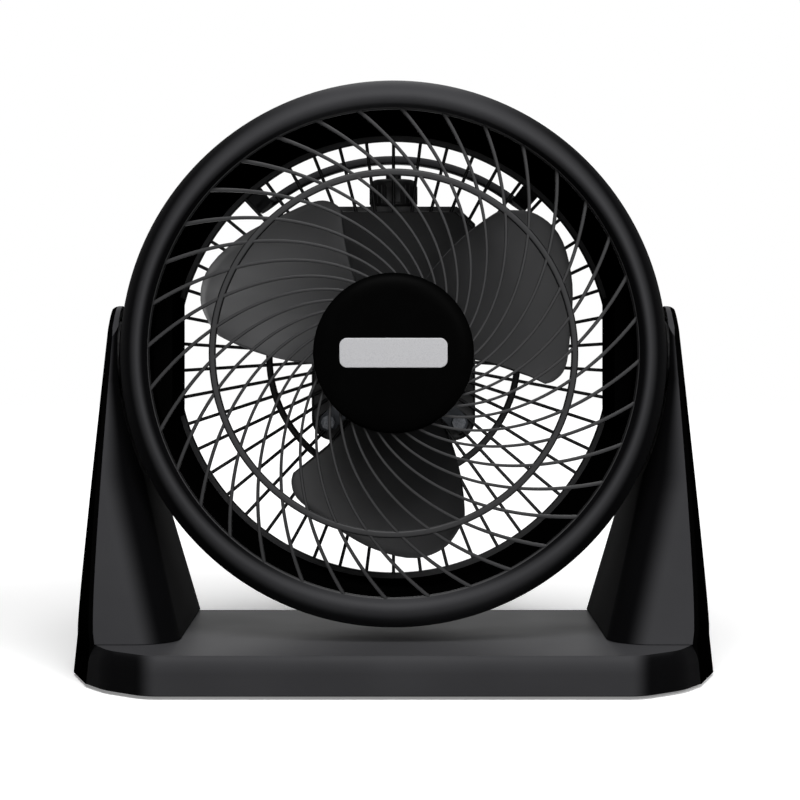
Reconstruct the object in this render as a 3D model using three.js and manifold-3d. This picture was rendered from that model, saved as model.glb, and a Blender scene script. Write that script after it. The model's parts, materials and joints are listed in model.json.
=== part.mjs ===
// Air circulator fan: a ducted head that tilts between the two arms of a flat stand.
// Millimetres, +Z up, and the air leaves towards -Y. The origin is on the ground under the stand.
// The head's own frame has its origin on the tilt axis: X right, Y back along the shaft, Z up.
import * as THREE from 'three';
import { mergeVertices } from 'three/addons/utils/BufferGeometryUtils.js';
import Module from 'manifold-3d';

const wasm = await Module();
wasm.setup();

// ---- Driving dimensions

const clearance = 0.3;             // between pieces that touch, and around a shaft
const threadPlay = 0.3;            // around a screw's shank
const overcut = 1;                 // by which a cut runs past the face that it opens

// Screws
const screwHeadRadius = 3.2;
const screwHeadThickness = 1.2;
const screwShankRadius = 1.5;
const postRadius = 4.2;
const slimHeadRadius = 2.2;        // of the ring screws, which pass between duct and housing
const slimHeadThickness = 1;
const slimShankRadius = 1.2;
const slimPostRadius = 2.6;
const ringScrewLength = 14;
const motorScrewLength = 5;
const handleScrewLength = 5;
const pilotEnd = 2;                // of solid plastic past the end of a pilot hole

// Head
const headTiltUp = 2.2;            // degrees, as it stands
const headRadius = 117;
const housingWall = 2.4;
const rimDepth = 37.6;             // from the pivot forward to the front of the rim
const rimSetback = 9;              // of the front of the rim, inside the head's radius
const rimLip = 4.7;                // from there in to the rim's inner edge
const rimRoll = 3.6;               // how far back the rim's inner edge lies
const housingRear = 42.7;
const housingTaper = 8.4;          // by which the housing is smaller at its rear edge
const ductWall = 2.4;
const ductTaper = 2.6;
const ductLead = 1.1;              // gap between the front grille's band and the duct
const flangeBevel = 0.8;
const flatDepth = 5.7;             // of the flats on the pivot bosses, inside the duct
const flatHalfHeight = 26;
const flatFront = -14;
const fittingDepth = 6;            // of the pivot fittings, inward from the housing's wall

// Stand
const headGap = 3.4;               // between the base's top and the head
const sweepGap = 2.2;              // round the head, to the ball in which it turns
const armThickness = 5.55;         // at the pivot, with its cover
const armLean = 0.1105;            // the outer face leans in by this much per mm of height
const standDepth = 150;
const frontInset = 39;             // of the front edge's end, from the stand's side
const cornerInset = 20.5;          // of the front corner
const cornerRun = 16;              // the same, back from the front edge
const shoulderInset = 11.2;        // where the arms begin
const shoulderRun = 32;
const cheekInset = 1.6;            // where the stand reaches nearly its full width
const cheekRun = 64.5;
const sideRun = 100;               // where it reaches its full width
const frontEase = 6;               // how far each corner of the outline is eased off
const cornerEase = 6;
const rearEase = 4;
const floorGap = 1.5;              // under the base shell
const baseHeight = 16.3;
const baseWall = 2.5;
const baseEdge = 2;                // chamfer round the base's top
const plateThickness = 2.6;
const footRadius = 8;
const footStemRadius = 2.6;
const footCatch = 1;               // by which the stem's end is wider than its hole
const footCatchHeight = 2.4;
const frontFootInset = [4, 21];    // from the ends of the front edge: across, back
const rearFootInset = [15.8, 17];  // from the rear corners
const plateScrewInset = [77.8, 15];

// Arms
const armTopRadius = 21.2;         // round the pivot, seen from the side
const armFootWidth = 49.5;
const armCorner = 18;              // radius of the foot's inner front corner, in plan
const armCornerEdge = 0.6;         // least flat of the front between that corner and the outer one
const armInnerLean = 0.241;        // outwards per height
const armInnerTop = 117;           // where the inner side stops leaning
const armChamferTop = 1;           // of the outer front edge, across X, at the pivot
const armChamferFade = 0.6;        // it narrows quickly above the foot, then slowly
const armRearInset = 1;
const armRearChamfer = [2, 6];     // across, back
const armWall = 2.2;
const armCoverThickness = 1.6;
const armScrewInset = 21.5;        // from the foot's inner side
const armScrewSpan = [31, 26];     // from the foot's front and rear
const armScrewGrip = 10;
const armPostRadius = 4.4;

// Pivots
const stubRadius = 5.5;
const padRadius = 15;
const padGap = 1;                  // round the pad, in the arm
const washerThickness = 1.5;
const washerInset = 0.5;
const pivotHeadRadius = 7;
const pivotHeadThickness = 0.9;
const pivotSeatDepth = 1.4;        // sunk into the arm's wall
const pivotShankRadius = 2.4;
const pivotShankLength = 21;

// Front grille
const wireCount = 36;
const wireWidthRim = 1.65;
const wireWidthHub = 1.1;
const wireDepth = 2.6;
const wirePhase = 8.8;             // degrees of the first wire at the duct's edge
const wireSweep = 0.925;           // radians of turn per e-fold of radius: a log spiral
const wireLead = 1.3;              // beyond the duct's edge, where that angle is measured
const grilleLip = 0.4;             // of its band, outside the duct
const grilleBandWidth = 3.2;
const grilleSetback = 5.4;         // of its band, behind the front of the rim
const grilleDome = 6;
const grilleRingRadius = 76;
const grilleRingWidth = 3;
const hubPlateMargin = 1.6;        // of the grille's middle, round the impeller's hub

// Nose cap and its plate
const capOverhang = 1;             // beyond the grille's hub plate
const capDepth = 4.4;
const capWall = 1.6;
const capRound = 8.1;              // width of the curved edge round the cap's flat face
const plateWidth = 45;
const plateHeight = 12.4;
const plateCorner = 3.2;
const plateThick = 1.1;
const plateProud = 0.4;

// Rear grille
const ribCount = 50;
const ribWidth = 1.5;
const ribDepth = 3;
const rearDome = 3;
const rearRingInset = 2.6;         // of the outer ring, inside the duct
const rearRingWidth = 6.2;
const rearHubGap = 2;              // round the motor
const rearHubWidth = 4.5;
const rearMidRadius = 56.5;
const rearMidWidth = 3;
const lugRadius = 3;
const bossReach = 6.5;             // of the four motor bosses on the diagonals, past the hub ring
const bossRadius = 4;
const bossFront = 1.4;             // how far the bosses stand out in front of the ribs
const bossBack = 2.4;              // and behind them

// Carrying handle
const handleInset = 6.3;           // inside the rear grille's outer ring
const handleWidth = 3.8;           // along the radius
const handleBar = 7;               // along the shaft
const handleRise = 22.3;           // behind the rear grille
const handleStart = 48;            // degrees
const handleEnd = 133;
const handlePost = 5;              // degrees
const handlePad = 3;

// Motor cover and knob
const coverMargin = 2.7;           // beside the screw posts
const coverUnder = 3.3;            // below them
const coverShoulder = [8.4, 8];    // of the tower's sloping corners: across, down
const coverCorner = 10;
const coverDepth = 18.5;
const coverBevel = 1.5;
const coverPostRadius = 5;
const coverWall = 2.2;
const coverFace = 1.4;             // thickness of the cover's front, behind the rear grille
const coverShaftPlay = 1.5;        // round the shaft's tail in that front
const coverScrewSunk = 3;
const coverScrewGrip = 2;          // of a cover screw, in the grille's boss
const ventCount = 7;
const ventPitch = 6;
const ventWidth = 2.6;
const ventHalfLength = 20;
const knobOverhang = 1.45;         // beyond the tower's front and back
const knobGap = 5.3;               // between the knob's grip and the carrying handle
const knobHeight = 12.7;
const knobChamfer = 2.4;
const knobCrown = 2.4;             // over the end of the switch's shaft
const knobGripWidth = 7;
const knobGripHeight = 2.6;
const knobGripInset = 1.5;
const knobShaftRadius = 3;
const switchSize = 22;
const switchHeight = 18;
const glandRadius = 6.5;
const glandBore = 3.4;
const glandNeck = 1.6;             // by which the neck is slimmer than the flange
const glandDrop = 6;
const glandFlange = 2;

// Motor
const shaftRadius = 3;
const shaftProud = 0.7;            // in front of the nut
const shaftTail = 8;               // behind the rear bush
const shaftTip = 0.8;
const motorRadius = 29;
const motorFront = 11;
const bellDepth = 11;              // from the motor's front to its core
const bellRound = 3;
const bellWall = 2;
const coreLength = 15;
const rotorRadius = 11.3;
const airGap = 0.6;
const windingInset = 4;            // inside the motor's radius
const windingGap = 2.7;            // round the rotor
const windingDepth = 3.6;
const bushThickness = 3;
const bushFlange = 2.4;
const bushSeat = 2;
const bushProud = 1;
const earRadius = 4.2;

// Impeller
const bladeCount = 3;
const tipGap = 6.4;                // between a blade's widest point and the duct's flats
const hubOverhang = 2;             // beyond the motor behind it
const hubFront = -22;
const hubRound = 2;
const hubWall = 2.4;
const hubGap = 4;                  // in front of the motor
const hubSleeve = 2;               // thickness of the wall round the shaft, outside the bush
const bladeThickness = 2;
const bladeRear = 15;              // leading edge, behind the pivot plane
const bladeFront = -17;            // trailing edge
const bladeCamber = 3;
const nutRadius = 7;
const nutThickness = 4;

// ---- Sizes that follow

// Head
const rimRadius = headRadius - rimSetback;
const rimInnerRadius = rimRadius - rimLip;
const housingRearRadius = headRadius - housingTaper;
const ductFrontRadius = rimInnerRadius - clearance;
const ductRearRadius = ductFrontRadius - ductTaper;
const flatX = ductRearRadius - flatDepth;
const ringScrewRadius = housingRearRadius - slimPostRadius;
const grilleFront = grilleSetback - rimDepth;
const grilleOuterRadius = ductFrontRadius + ductWall + grilleLip;
const ductFront = grilleFront + wireDepth + ductLead;
const hubRadius = motorRadius + hubOverhang;
const hubPlateRadius = hubRadius + hubPlateMargin;
const capRadius = hubPlateRadius + capOverhang;
const capFlatRadius = capRadius - capRound;
const flangeFront = housingRear + clearance;
const flangeBack = flangeFront + ductWall;
const rearGrilleFront = flangeBack + clearance;
const rearGrilleBack = rearGrilleFront + ribDepth;
const rearRingInner = ductRearRadius - rearRingInset;
const rearRingOuter = rearRingInner + rearRingWidth;
const rearHubInner = motorRadius + rearHubGap;
const rearHubOuter = rearHubInner + rearHubWidth;
const bossCircle = rearHubOuter + bossReach;
const bossSpread = bossCircle * Math.SQRT1_2;
const handleRadius = rearRingInner - handleInset;
const handleBack = rearGrilleBack + handleRise;
const coverFront = rearGrilleBack + rearDome + clearance;
const coverBack = coverFront + coverDepth;
const coverMiddle = (coverFront + coverBack) / 2;
const coverHalfWidth = bossSpread + coverPostRadius + coverMargin;
const coverBottom = -(bossSpread + coverPostRadius + coverUnder);
const coverTopHalfWidth = coverHalfWidth - coverShoulder[0];
const coverTop = handleRadius - handleWidth / 2 - knobGap - knobGripHeight - knobHeight;
const knobRadius = coverDepth / 2 + knobOverhang;
const coreFront = motorFront + bellDepth;
const coreBack = coreFront + coreLength;
const windingOuter = motorRadius - windingInset;
const windingInner = rotorRadius + windingGap;
const bushRadius = shaftRadius + bushThickness;
const bladeRadius = flatX - tipGap;
const hubBack = motorFront - hubGap;
const nutBack = hubFront - clearance;
const shaftFront = nutBack - nutThickness - shaftProud;

// Stand
const baseTop = floorGap + baseHeight;
const plateTop = floorGap + plateThickness;
const baseCeiling = baseTop - baseWall;
const pivotHeight = baseTop + headGap + headRadius;
const sweepRadius = headRadius + sweepGap;
const standHalfWidth = sweepRadius + armThickness + armLean * pivotHeight;
const frontY = -standDepth / 2;
const frontHalfWidth = standHalfWidth - frontInset;
const cornerX = standHalfWidth - cornerInset;
const cornerY = frontY + cornerRun;
const shoulderY = frontY + shoulderRun;
const cheekY = frontY + cheekRun;
const sideY = frontY + sideRun;
const armInnerX = standHalfWidth - armFootWidth;
const armRearY = standDepth / 2 - armRearInset;
const armScrewX = armInnerX + armScrewInset;
const armScrewYs = [shoulderY + armScrewSpan[0], armRearY - armScrewSpan[1]];
const armFoot = baseTop + clearance;
const sideAt = (z) => standHalfWidth - armLean * z;
const armChamferFoot = shoulderInset - cheekInset;
const coverSeat = armCoverThickness + clearance;
const armTop = pivotHeight + armTopRadius;
const padX = sweepRadius - clearance - washerThickness - clearance;
const pivotHeadX = sweepRadius + armWall - pivotSeatDepth + clearance;
const stubEnd = pivotHeadX - clearance;

const material = (color, roughness, metalness = 0) =>
  new THREE.MeshStandardMaterial({ color, roughness, metalness });
const blackAbs = material(0x232325, 0.5);
const blackSatin = material(0x1b1b1d, 0.42);
const capBlack = material(0x0c0c0d, 0.35);
const impellerGrey = material(0x2c2c30, 0.38);
const silver = material(0xd2d2d4, 0.35, 0.3);
const steel = material(0xa8abb0, 0.3, 1);
const laminated = material(0x6d7177, 0.5, 0.9);
const copper = material(0xa8622f, 0.4, 0.8);
const bronze = material(0x9a7440, 0.5, 0.9);
const nylon = material(0xd8d4c8, 0.5);
const rubber = material(0x151515, 0.9);

// Facets round screws and their holes, and round ever larger turned pieces.
const smallFacets = 8;
const midFacets = 16;
const motorFacets = 24;
const hubFacets = 30;
const largeFacets = 48;

const radians = THREE.MathUtils.degToRad;
const lerp = THREE.MathUtils.lerp;

// ---- Solids

// A closed geometry as a solid whose faces point out.
function toSolid(geometry) {
  const bare = new THREE.BufferGeometry();
  bare.setAttribute('position', geometry.getAttribute('position'));
  if (geometry.index) bare.setIndex(geometry.index);
  const merged = mergeVertices(bare, 1e-4);
  const points = merged.getAttribute('position').array;
  const faces = [];
  const corner = [new THREE.Vector3(), new THREE.Vector3(), new THREE.Vector3()];
  let volume = 0;
  for (let i = 0; i < merged.index.count; i += 3) {
    const [a, b, c] = merged.index.array.slice(i, i + 3);
    if (a === b || b === c || c === a) continue;
    [a, b, c].forEach((vertex, k) => corner[k].fromArray(points, vertex * 3));
    volume += corner[0].dot(corner[1].clone().cross(corner[2]));
    faces.push([a, b, c]);
  }
  const outward = volume < 0 ? faces.map(([a, b, c]) => [a, c, b]) : faces;
  return new wasm.Manifold(new wasm.Mesh({
    numProp: 3,
    vertProperties: Float32Array.from(points),
    triVerts: Uint32Array.from(outward.flat()),
  }));
}

function toGeometry(solid) {
  const made = solid.getMesh();
  const geometry = new THREE.BufferGeometry();
  geometry.setAttribute('position', new THREE.BufferAttribute(made.vertProperties, 3));
  geometry.setIndex(new THREE.BufferAttribute(made.triVerts, 1));
  geometry.computeVertexNormals();
  return geometry;
}

const moved = (solid, x, y, z) => toSolid(toGeometry(solid).translate(x, y, z));
const mirrored = (solid) => toSolid(toGeometry(solid).scale(-1, 1, 1));
const joined = (solids) => solids.reduce((whole, solid) => whole.add(solid));

// Turned about the Y axis from a closed outline of [radius, y].
function turned(outline, segments = largeFacets) {
  const points = outline.map(([r, y]) => new THREE.Vector2(r, y));
  const closes = outline[0][0] === 0 && outline.at(-1)[0] === 0;
  if (!closes) points.push(points[0].clone());
  return toSolid(new THREE.LatheGeometry(points, segments));
}

const collar = (inner, outer, from, to, segments) =>
  turned([[inner, from], [outer, from], [outer, to], [inner, to]], segments);

const disc = (radius, from, to, segments) =>
  turned([[0, from], [radius, from], [radius, to], [0, to]], segments);

// Turns a solid made along Y so that it runs along another axis, and puts it in place.
function along(axis, solid, x = 0, y = 0, z = 0) {
  const geometry = toGeometry(solid);
  if (axis === 'z') geometry.rotateX(Math.PI / 2);
  if (axis === 'x') geometry.rotateZ(-Math.PI / 2);
  return toSolid(geometry.translate(x, y, z));
}

// A flat shape drawn in X and Z, with a thickness along Y.
function facing(shape, from, to, curveSegments = 8) {
  const geometry = new THREE.ExtrudeGeometry(shape, {
    depth: to - from, bevelEnabled: false, curveSegments,
  });
  return toSolid(geometry.rotateX(Math.PI / 2).translate(0, to, 0));
}

// A disc about the shaft with openings through it, each a closed list of [x, z] points.
function pierced(radius, facets, openings, from, to) {
  const rim = Array.from({ length: facets }, (_, i) => polar(radius, 360 * i / facets));
  const asPoints = (points) => points.map(([x, y]) => new THREE.Vector2(x, y));
  const shape = new THREE.Shape(asPoints(rim));
  shape.holes = openings.map((points) => new THREE.Path(asPoints(points)));
  return facing(shape, from, to);
}

function block(x, y, z) {
  const geometry = new THREE.BoxGeometry(x[1] - x[0], y[1] - y[0], z[1] - z[0]);
  return toSolid(geometry.translate((x[0] + x[1]) / 2, (y[0] + y[1]) / 2, (z[0] + z[1]) / 2));
}

// Closed body through rings of equally many points, capped at both ends.
function lofted(rings) {
  const count = rings[0].length;
  const points = rings.flat();
  const faces = [];
  for (let i = 0; i + 1 < rings.length; i += 1) {
    for (let j = 0; j < count; j += 1) {
      const a = i * count + j;
      const b = i * count + ((j + 1) % count);
      faces.push(a, b, b + count, a, b + count, a + count);
    }
  }
  const last = (rings.length - 1) * count;
  for (let j = 1; j + 1 < count; j += 1) {
    faces.push(0, j + 1, j, last, last + j, last + j + 1);
  }
  const geometry = new THREE.BufferGeometry().setFromPoints(points);
  return toSolid(geometry.setIndex(faces));
}

// About the head's shaft, by an angle seen from the front, counter-clockwise from +X.
const spun = (solid, degrees) => toSolid(toGeometry(solid).rotateY(-radians(degrees)));

const polar = (radius, degrees) =>
  [radius * Math.cos(radians(degrees)), radius * Math.sin(radians(degrees))];

// Every vertex is pushed along the shaft by an amount that follows its distance from it.
function domed(solid, push) {
  const geometry = toGeometry(solid);
  const points = geometry.getAttribute('position');
  for (let i = 0; i < points.count; i += 1) {
    points.setY(i, points.getY(i) + push(Math.hypot(points.getX(i), points.getZ(i))));
  }
  return toSolid(geometry);
}

// A screw along Y with its head towards -Y. The head's outer face is at `face`.
function screw(face, length, top = screwHeadRadius, thick = screwHeadThickness,
  shank = screwShankRadius) {
  const seat = face + thick;
  return turned([
    [0, face], [top, face], [top, seat], [shank, seat], [shank, seat + length], [0, seat + length],
  ], smallFacets);
}

const flipped = (solid) => toSolid(toGeometry(solid).rotateX(Math.PI));

const stand = new THREE.Group();
const head = new THREE.Group();
head.position.z = pivotHeight;
head.rotation.x = -radians(headTiltUp);

function add(parent, name, solid, finish) {
  const mesh = new THREE.Mesh(toGeometry(solid), finish);
  mesh.name = name;
  parent.add(mesh);
}

// ---- Stand

// The base's right half in plan at a height, from the front edge round to the rear: each corner,
// and how far it is eased off along both of its edges.
const halfCorners = (z) => [
  [frontHalfWidth, frontY, frontEase],
  [cornerX, cornerY, cornerEase],
  [sideAt(z) - shoulderInset, shoulderY, 0],
  [sideAt(z) - cheekInset, cheekY, 0],
  [sideAt(z), sideY, 0],
  [sideAt(z), standDepth / 2, rearEase],
];

// Corners round a closed outline, each one cut off where it is eased, and a point between.
function eased(corners) {
  return corners.flatMap(([x, y, reach], i) => {
    if (reach === 0) return [new THREE.Vector2(x, y)];
    const corner = new THREE.Vector2(x, y);
    const ends = [corners.at(i - 1), corners[(i + 1) % corners.length]].map(([nx, ny]) =>
      new THREE.Vector2(nx - x, ny - y).setLength(reach).add(corner));
    const middle = ends[0].clone().add(ends[1]).add(corner).add(corner).divideScalar(4);
    return [ends[0], middle, ends[1]];
  });
}

// The whole outline at a height, drawn in by a distance square to each edge.
function standOutline(inset, z) {
  const half = halfCorners(z);
  const corners = eased([...half, ...half.map(([x, y, reach]) => [-x, y, reach]).reverse()]);
  return corners.map((corner, i) => {
    const before = corners.at(i - 1);
    const after = corners[(i + 1) % corners.length];
    const normals = [[before, corner], [corner, after]].map(([from, to]) =>
      new THREE.Vector2(from.y - to.y, to.x - from.x).normalize());
    const bisector = normals[0].clone().add(normals[1]).normalize();
    return bisector.multiplyScalar(inset / bisector.dot(normals[0])).add(corner);
  });
}

const outlineAt = (inset, z) =>
  standOutline(inset, z).map(({ x, y }) => new THREE.Vector3(x, y, z));

// All that lies outside the arm covers' lower ends, or nearer the middle by an inset.
function besideCovers(inset) {
  const far = 2 * standHalfWidth;
  const [across, back] = armRearChamfer;
  const behind = standDepth / 2 + overcut;
  const chamferY = armRearY - back;
  const rings = [-overcut, baseTop + overcut].map((z) => {
    const side = sideAt(z) - inset;
    return [
      [far, shoulderY - clearance], [far, behind],
      [side - across * (behind - chamferY) / back, behind], [side, chamferY], [side, sideY],
      [side - cheekInset, cheekY], [side - shoulderInset, shoulderY - clearance],
    ].map(([x, y]) => new THREE.Vector3(x, y, z));
  });
  const right = lofted(rings);
  return right.add(mirrored(right));
}

const frontFoot = [frontHalfWidth - frontFootInset[0], frontY + frontFootInset[1]];
const rearFoot = [standHalfWidth - rearFootInset[0], standDepth / 2 - rearFootInset[1]];
const feet = [
  ['front_left', -frontFoot[0], frontFoot[1]],
  ['front_right', frontFoot[0], frontFoot[1]],
  ['rear_left', -rearFoot[0], rearFoot[1]],
  ['rear_right', rearFoot[0], rearFoot[1]],
];
const plateScrews = [[-1, -1], [1, -1], [-1, 1], [1, 1]].map(([sx, sy]) =>
  [sx * (standHalfWidth - plateScrewInset[0]), sy * (standDepth / 2 - plateScrewInset[1])]);
const armScrews = [-1, 1].flatMap((side) => armScrewYs.map((y) => [side * armScrewX, y]));

function baseShell() {
  let shell = lofted([outlineAt(0, floorGap), outlineAt(0, baseTop - baseEdge),
    outlineAt(baseEdge * 0.35, baseTop - baseEdge * 0.35), outlineAt(baseEdge, baseTop)]);
  const hollow = lofted([outlineAt(baseWall, 0), outlineAt(baseWall, baseCeiling)]);
  shell = shell.subtract(besideCovers(coverSeat));
  shell = shell.subtract(hollow.subtract(besideCovers(coverSeat + baseWall)));
  for (const [x, y] of plateScrews) {
    const post = disc(postRadius, plateTop + clearance, baseCeiling + overcut, smallFacets);
    const pilot = disc(screwShankRadius + threadPlay, 0, baseCeiling - pilotEnd / 2, smallFacets);
    shell = shell.add(along('z', post, x, y, 0)).subtract(along('z', pilot, x, y, 0));
  }
  for (const [x, y] of armScrews) {
    const hole = disc(screwShankRadius + threadPlay, 0, baseTop + overcut, smallFacets);
    shell = shell.subtract(along('z', hole, x, y, 0));
  }
  return shell;
}

function basePlate() {
  const inset = baseWall + clearance;
  let plate = lofted([outlineAt(inset, floorGap), outlineAt(inset, plateTop)]);
  plate = plate.subtract(besideCovers(coverSeat + inset));
  for (const [x, y] of plateScrews) {
    const hole = disc(screwShankRadius + threadPlay, 0, plateTop + overcut, smallFacets);
    const sinkTop = floorGap + screwHeadThickness + clearance;
    const sink = disc(screwHeadRadius + clearance, 0, sinkTop, smallFacets);
    plate = plate.subtract(along('z', hole, x, y, 0)).subtract(along('z', sink, x, y, 0));
  }
  for (const [, x, y] of feet) {
    const stemHole = disc(footStemRadius + clearance, 0, plateTop + overcut, smallFacets);
    plate = plate.subtract(along('z', stemHole, x, y, 0));
  }
  return plate;
}

// A foot's stem passes the plate and spreads above it.
function rubberFoot() {
  const shoulder = floorGap - clearance;
  const catchAt = plateTop + clearance;
  const end = catchAt + footCatchHeight;
  return turned([
    [0, 0], [footRadius, 0], [footRadius, shoulder],
    [footStemRadius, shoulder], [footStemRadius, catchAt], [footStemRadius + footCatch, catchAt],
    [footStemRadius - footCatch, end], [0, end],
  ], midFacets);
}

// One horizontal section of an arm, counter-clockwise seen from above. An inset above zero draws
// in every side but the outer one, which then stands clear of the arm.
function armSection(z, inset) {
  const rise = Math.max(z - armFoot, 0) / (pivotHeight - armFoot);
  const outer = sideAt(z) + 2 * inset;
  const cheek = outer - cheekInset;
  const front = lerp(shoulderY, -armTopRadius, rise) + inset;
  const across = lerp(armChamferFoot, armChamferTop, rise ** armChamferFade);
  const back = across * (cheekY - shoulderY) / armChamferFoot;
  const inner = Math.min(armInnerX + armInnerLean * (z - armFoot), armInnerTop);
  const corner = Math.min(armCorner, cheek - across - inner - armCornerEdge) - inset;
  const section = [
    [cheek - across, front],
    [cheek, front + back],
    [outer, sideY],
    [outer, armRearY - armRearChamfer[1] - inset],
    [outer - armRearChamfer[0], armRearY - inset],
    [inner + inset, armRearY - inset],
  ];
  const steps = 5;
  for (let i = 0; i <= steps; i += 1) {
    const [x, y] = polar(corner, 180 + 90 * i / steps);
    section.push([inner + inset + corner + x, front + corner + y]);
  }
  return section.map(([x, y]) => new THREE.Vector3(x, y, z));
}

// The arm seen from the side: from a wide foot up to a round top about the pivot. It goes
// straight down from the foot to its bottom.
function armSide(inset, bottom) {
  const radius = armTopRadius - inset;
  const foot = armFoot + inset;
  const tangent = (y) => {
    const reach = Math.hypot(y, pivotHeight - foot);
    const towards = Math.atan2(foot - pivotHeight, y);
    const half = Math.acos(radius / reach);
    return y < 0 ? towards - half : towards + half;
  };
  const [front, rear] = [shoulderY + inset, armRearY - inset];
  const shape = new THREE.Shape();
  shape.moveTo(front, foot);
  if (bottom < foot) {
    shape.lineTo(front, bottom);
    shape.lineTo(rear, bottom);
  }
  shape.lineTo(rear, foot);
  shape.absarc(0, pivotHeight, radius, tangent(rear), tangent(front) + 2 * Math.PI);
  shape.closePath();
  const geometry = new THREE.ExtrudeGeometry(shape, {
    depth: standHalfWidth + 3 * inset, bevelEnabled: false, curveSegments: 14,
  });
  geometry.rotateX(Math.PI / 2).rotateZ(Math.PI / 2);
  return toSolid(geometry);
}

// The right arm as a full body from a bottom up, with the hollow in which the head turns.
function armBody(inset, bottom) {
  const above = [0.12, 0.35, 0.65, 1].map((share) => lerp(armFoot, pivotHeight, share));
  const heights = [bottom, ...[armFoot, ...above, armTop + overcut].filter((z) => z > bottom)];
  const facets = inset > 0 ? 12 : 20;
  const radius = sweepRadius + inset * 1.4;
  const sweep = new THREE.SphereGeometry(radius, 2 * facets, facets).rotateZ(Math.PI / 2);
  return lofted(heights.map((z) => armSection(z, inset)))
    .intersect(armSide(inset, bottom))
    .subtract(toSolid(sweep.translate(0, 0, pivotHeight)))
    .subtract(along('x', disc(padRadius + padGap, 0, sweepRadius + inset, midFacets),
      0, 0, pivotHeight));
}

const coveredBody = armBody(0, floorGap);

// The same body a little nearer the head and a shade larger seen from the side, to cut by.
function bodyBehind(thickness) {
  const spread = 1.001;
  const geometry = toGeometry(coveredBody).translate(-thickness, 0, -pivotHeight);
  return toSolid(geometry.scale(1, spread, spread).translate(0, 0, pivotHeight));
}

function arm() {
  let shell = armBody(0, armFoot).intersect(bodyBehind(coverSeat));
  shell = shell.subtract(armBody(armWall, armFoot + armWall));
  for (const y of armScrewYs) {
    const pilotTop = armFoot + armScrewGrip + pilotEnd;
    const post = disc(armPostRadius, armFoot, pilotTop + pilotEnd, smallFacets);
    const pilot = disc(screwShankRadius + threadPlay, 0, pilotTop, smallFacets);
    shell = shell.add(along('z', post, armScrewX, y, 0));
    shell = shell.subtract(along('z', pilot, armScrewX, y, 0));
  }
  const stubHole = disc(stubRadius + clearance, 0, standHalfWidth, midFacets);
  const seat = disc(pivotHeadRadius + clearance, stubEnd, standHalfWidth, midFacets);
  return shell.subtract(along('x', stubHole.add(seat), 0, 0, pivotHeight));
}

// A cover clads the arm's outer side and goes on down beside the base.
function armCover() {
  const reach = pivotHeadX + pivotHeadThickness + clearance;
  const pocket = disc(pivotHeadRadius + clearance, 0, reach, midFacets);
  return coveredBody.subtract(bodyBehind(armCoverThickness))
    .subtract(along('x', pocket, 0, 0, pivotHeight));
}

function pivotWasher() {
  const from = padX + clearance;
  const ring = collar(stubRadius + clearance, padRadius - washerInset, from,
    from + washerThickness, midFacets);
  return along('x', ring, 0, 0, pivotHeight);
}

add(stand, 'base_shell', baseShell(), blackAbs);
add(stand, 'base_plate', basePlate(), blackAbs);
for (const [place, x, y] of feet) {
  add(stand, `foot_${place}`, along('z', rubberFoot(), x, y, 0), rubber);
}
plateScrews.forEach(([x, y], i) => {
  const length = baseCeiling - floorGap - screwHeadThickness - pilotEnd;
  add(stand, `plate_screw_${i + 1}`, along('z', screw(0, length), x, y, floorGap), steel);
});
const armScrewFace = baseCeiling - clearance - screwHeadThickness;
armScrews.forEach(([x, y], i) => {
  const upright = along('z', screw(0, armFoot + armScrewGrip - baseCeiling), x, y, armScrewFace);
  add(stand, `arm_screw_${i + 1}`, upright, steel);
});
for (const [side, sided] of [['right', (solid) => solid], ['left', mirrored]]) {
  add(stand, `${side}_arm`, sided(arm()), blackAbs);
  add(stand, `${side}_arm_cover`, sided(armCover()), blackSatin);
  add(stand, `${side}_pivot_washer`, sided(pivotWasher()), nylon);
}

// ---- Head: housing and duct

const ringScrewAngles = [45, 135, 225, 315];

// The housing's outer face from the rim's inner edge to the rear: how far each point lies inside
// the head's radius, and how far behind the front of the rim.
const housingProfile = [
  [rimSetback + rimLip, rimRoll], [12.2, 1], [rimSetback, 0], [4.8, 2.5], [1.9, 9.6],
  [0.3, 21.6], [0, 32.6], [0.7, 47.6], [3.3, 63.6], [housingTaper, rimDepth + housingRear],
];
const housingFace = new THREE.SplineCurve(housingProfile.map(([inset, back]) =>
  new THREE.Vector2(headRadius - inset, back - rimDepth)));

function housing() {
  const steps = 13;
  const outer = [];
  const inner = [];
  for (let i = 0; i <= steps; i += 1) {
    const share = i / steps;
    const point = housingFace.getPoint(share);
    const tangent = housingFace.getTangent(share);
    outer.push([point.x, point.y]);
    inner.unshift([point.x - tangent.y * housingWall, point.y + tangent.x * housingWall]);
  }
  inner[0][1] = housingRear;
  let shell = turned([...outer, ...inner.filter((point, i) => i % 3 === 0 || i > 11)]);
  const innerAt = headRadius - housingWall;
  for (const side of [-1, 1]) {
    const pad = along('x', disc(padRadius, innerAt - fittingDepth, padX, midFacets));
    const stub = along('x', disc(stubRadius, innerAt - fittingDepth, stubEnd, midFacets));
    const hole = along('x', disc(pivotShankRadius + threadPlay, 0, stubEnd + overcut, smallFacets));
    const fitting = pad.add(stub);
    shell = shell.add(side < 0 ? mirrored(fitting) : fitting);
    shell = shell.subtract(side < 0 ? mirrored(hole) : hole);
  }
  for (const angle of ringScrewAngles) {
    const [x, z] = polar(ringScrewRadius, angle);
    const from = housingRear - ringScrewLength;
    const post = disc(slimPostRadius, from, housingRear, smallFacets);
    const pilot = disc(slimShankRadius + threadPlay, from + pilotEnd, housingRear + overcut,
      smallFacets);
    shell = shell.add(moved(post, x, 0, z)).subtract(moved(pilot, x, 0, z));
  }
  return shell;
}

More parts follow.
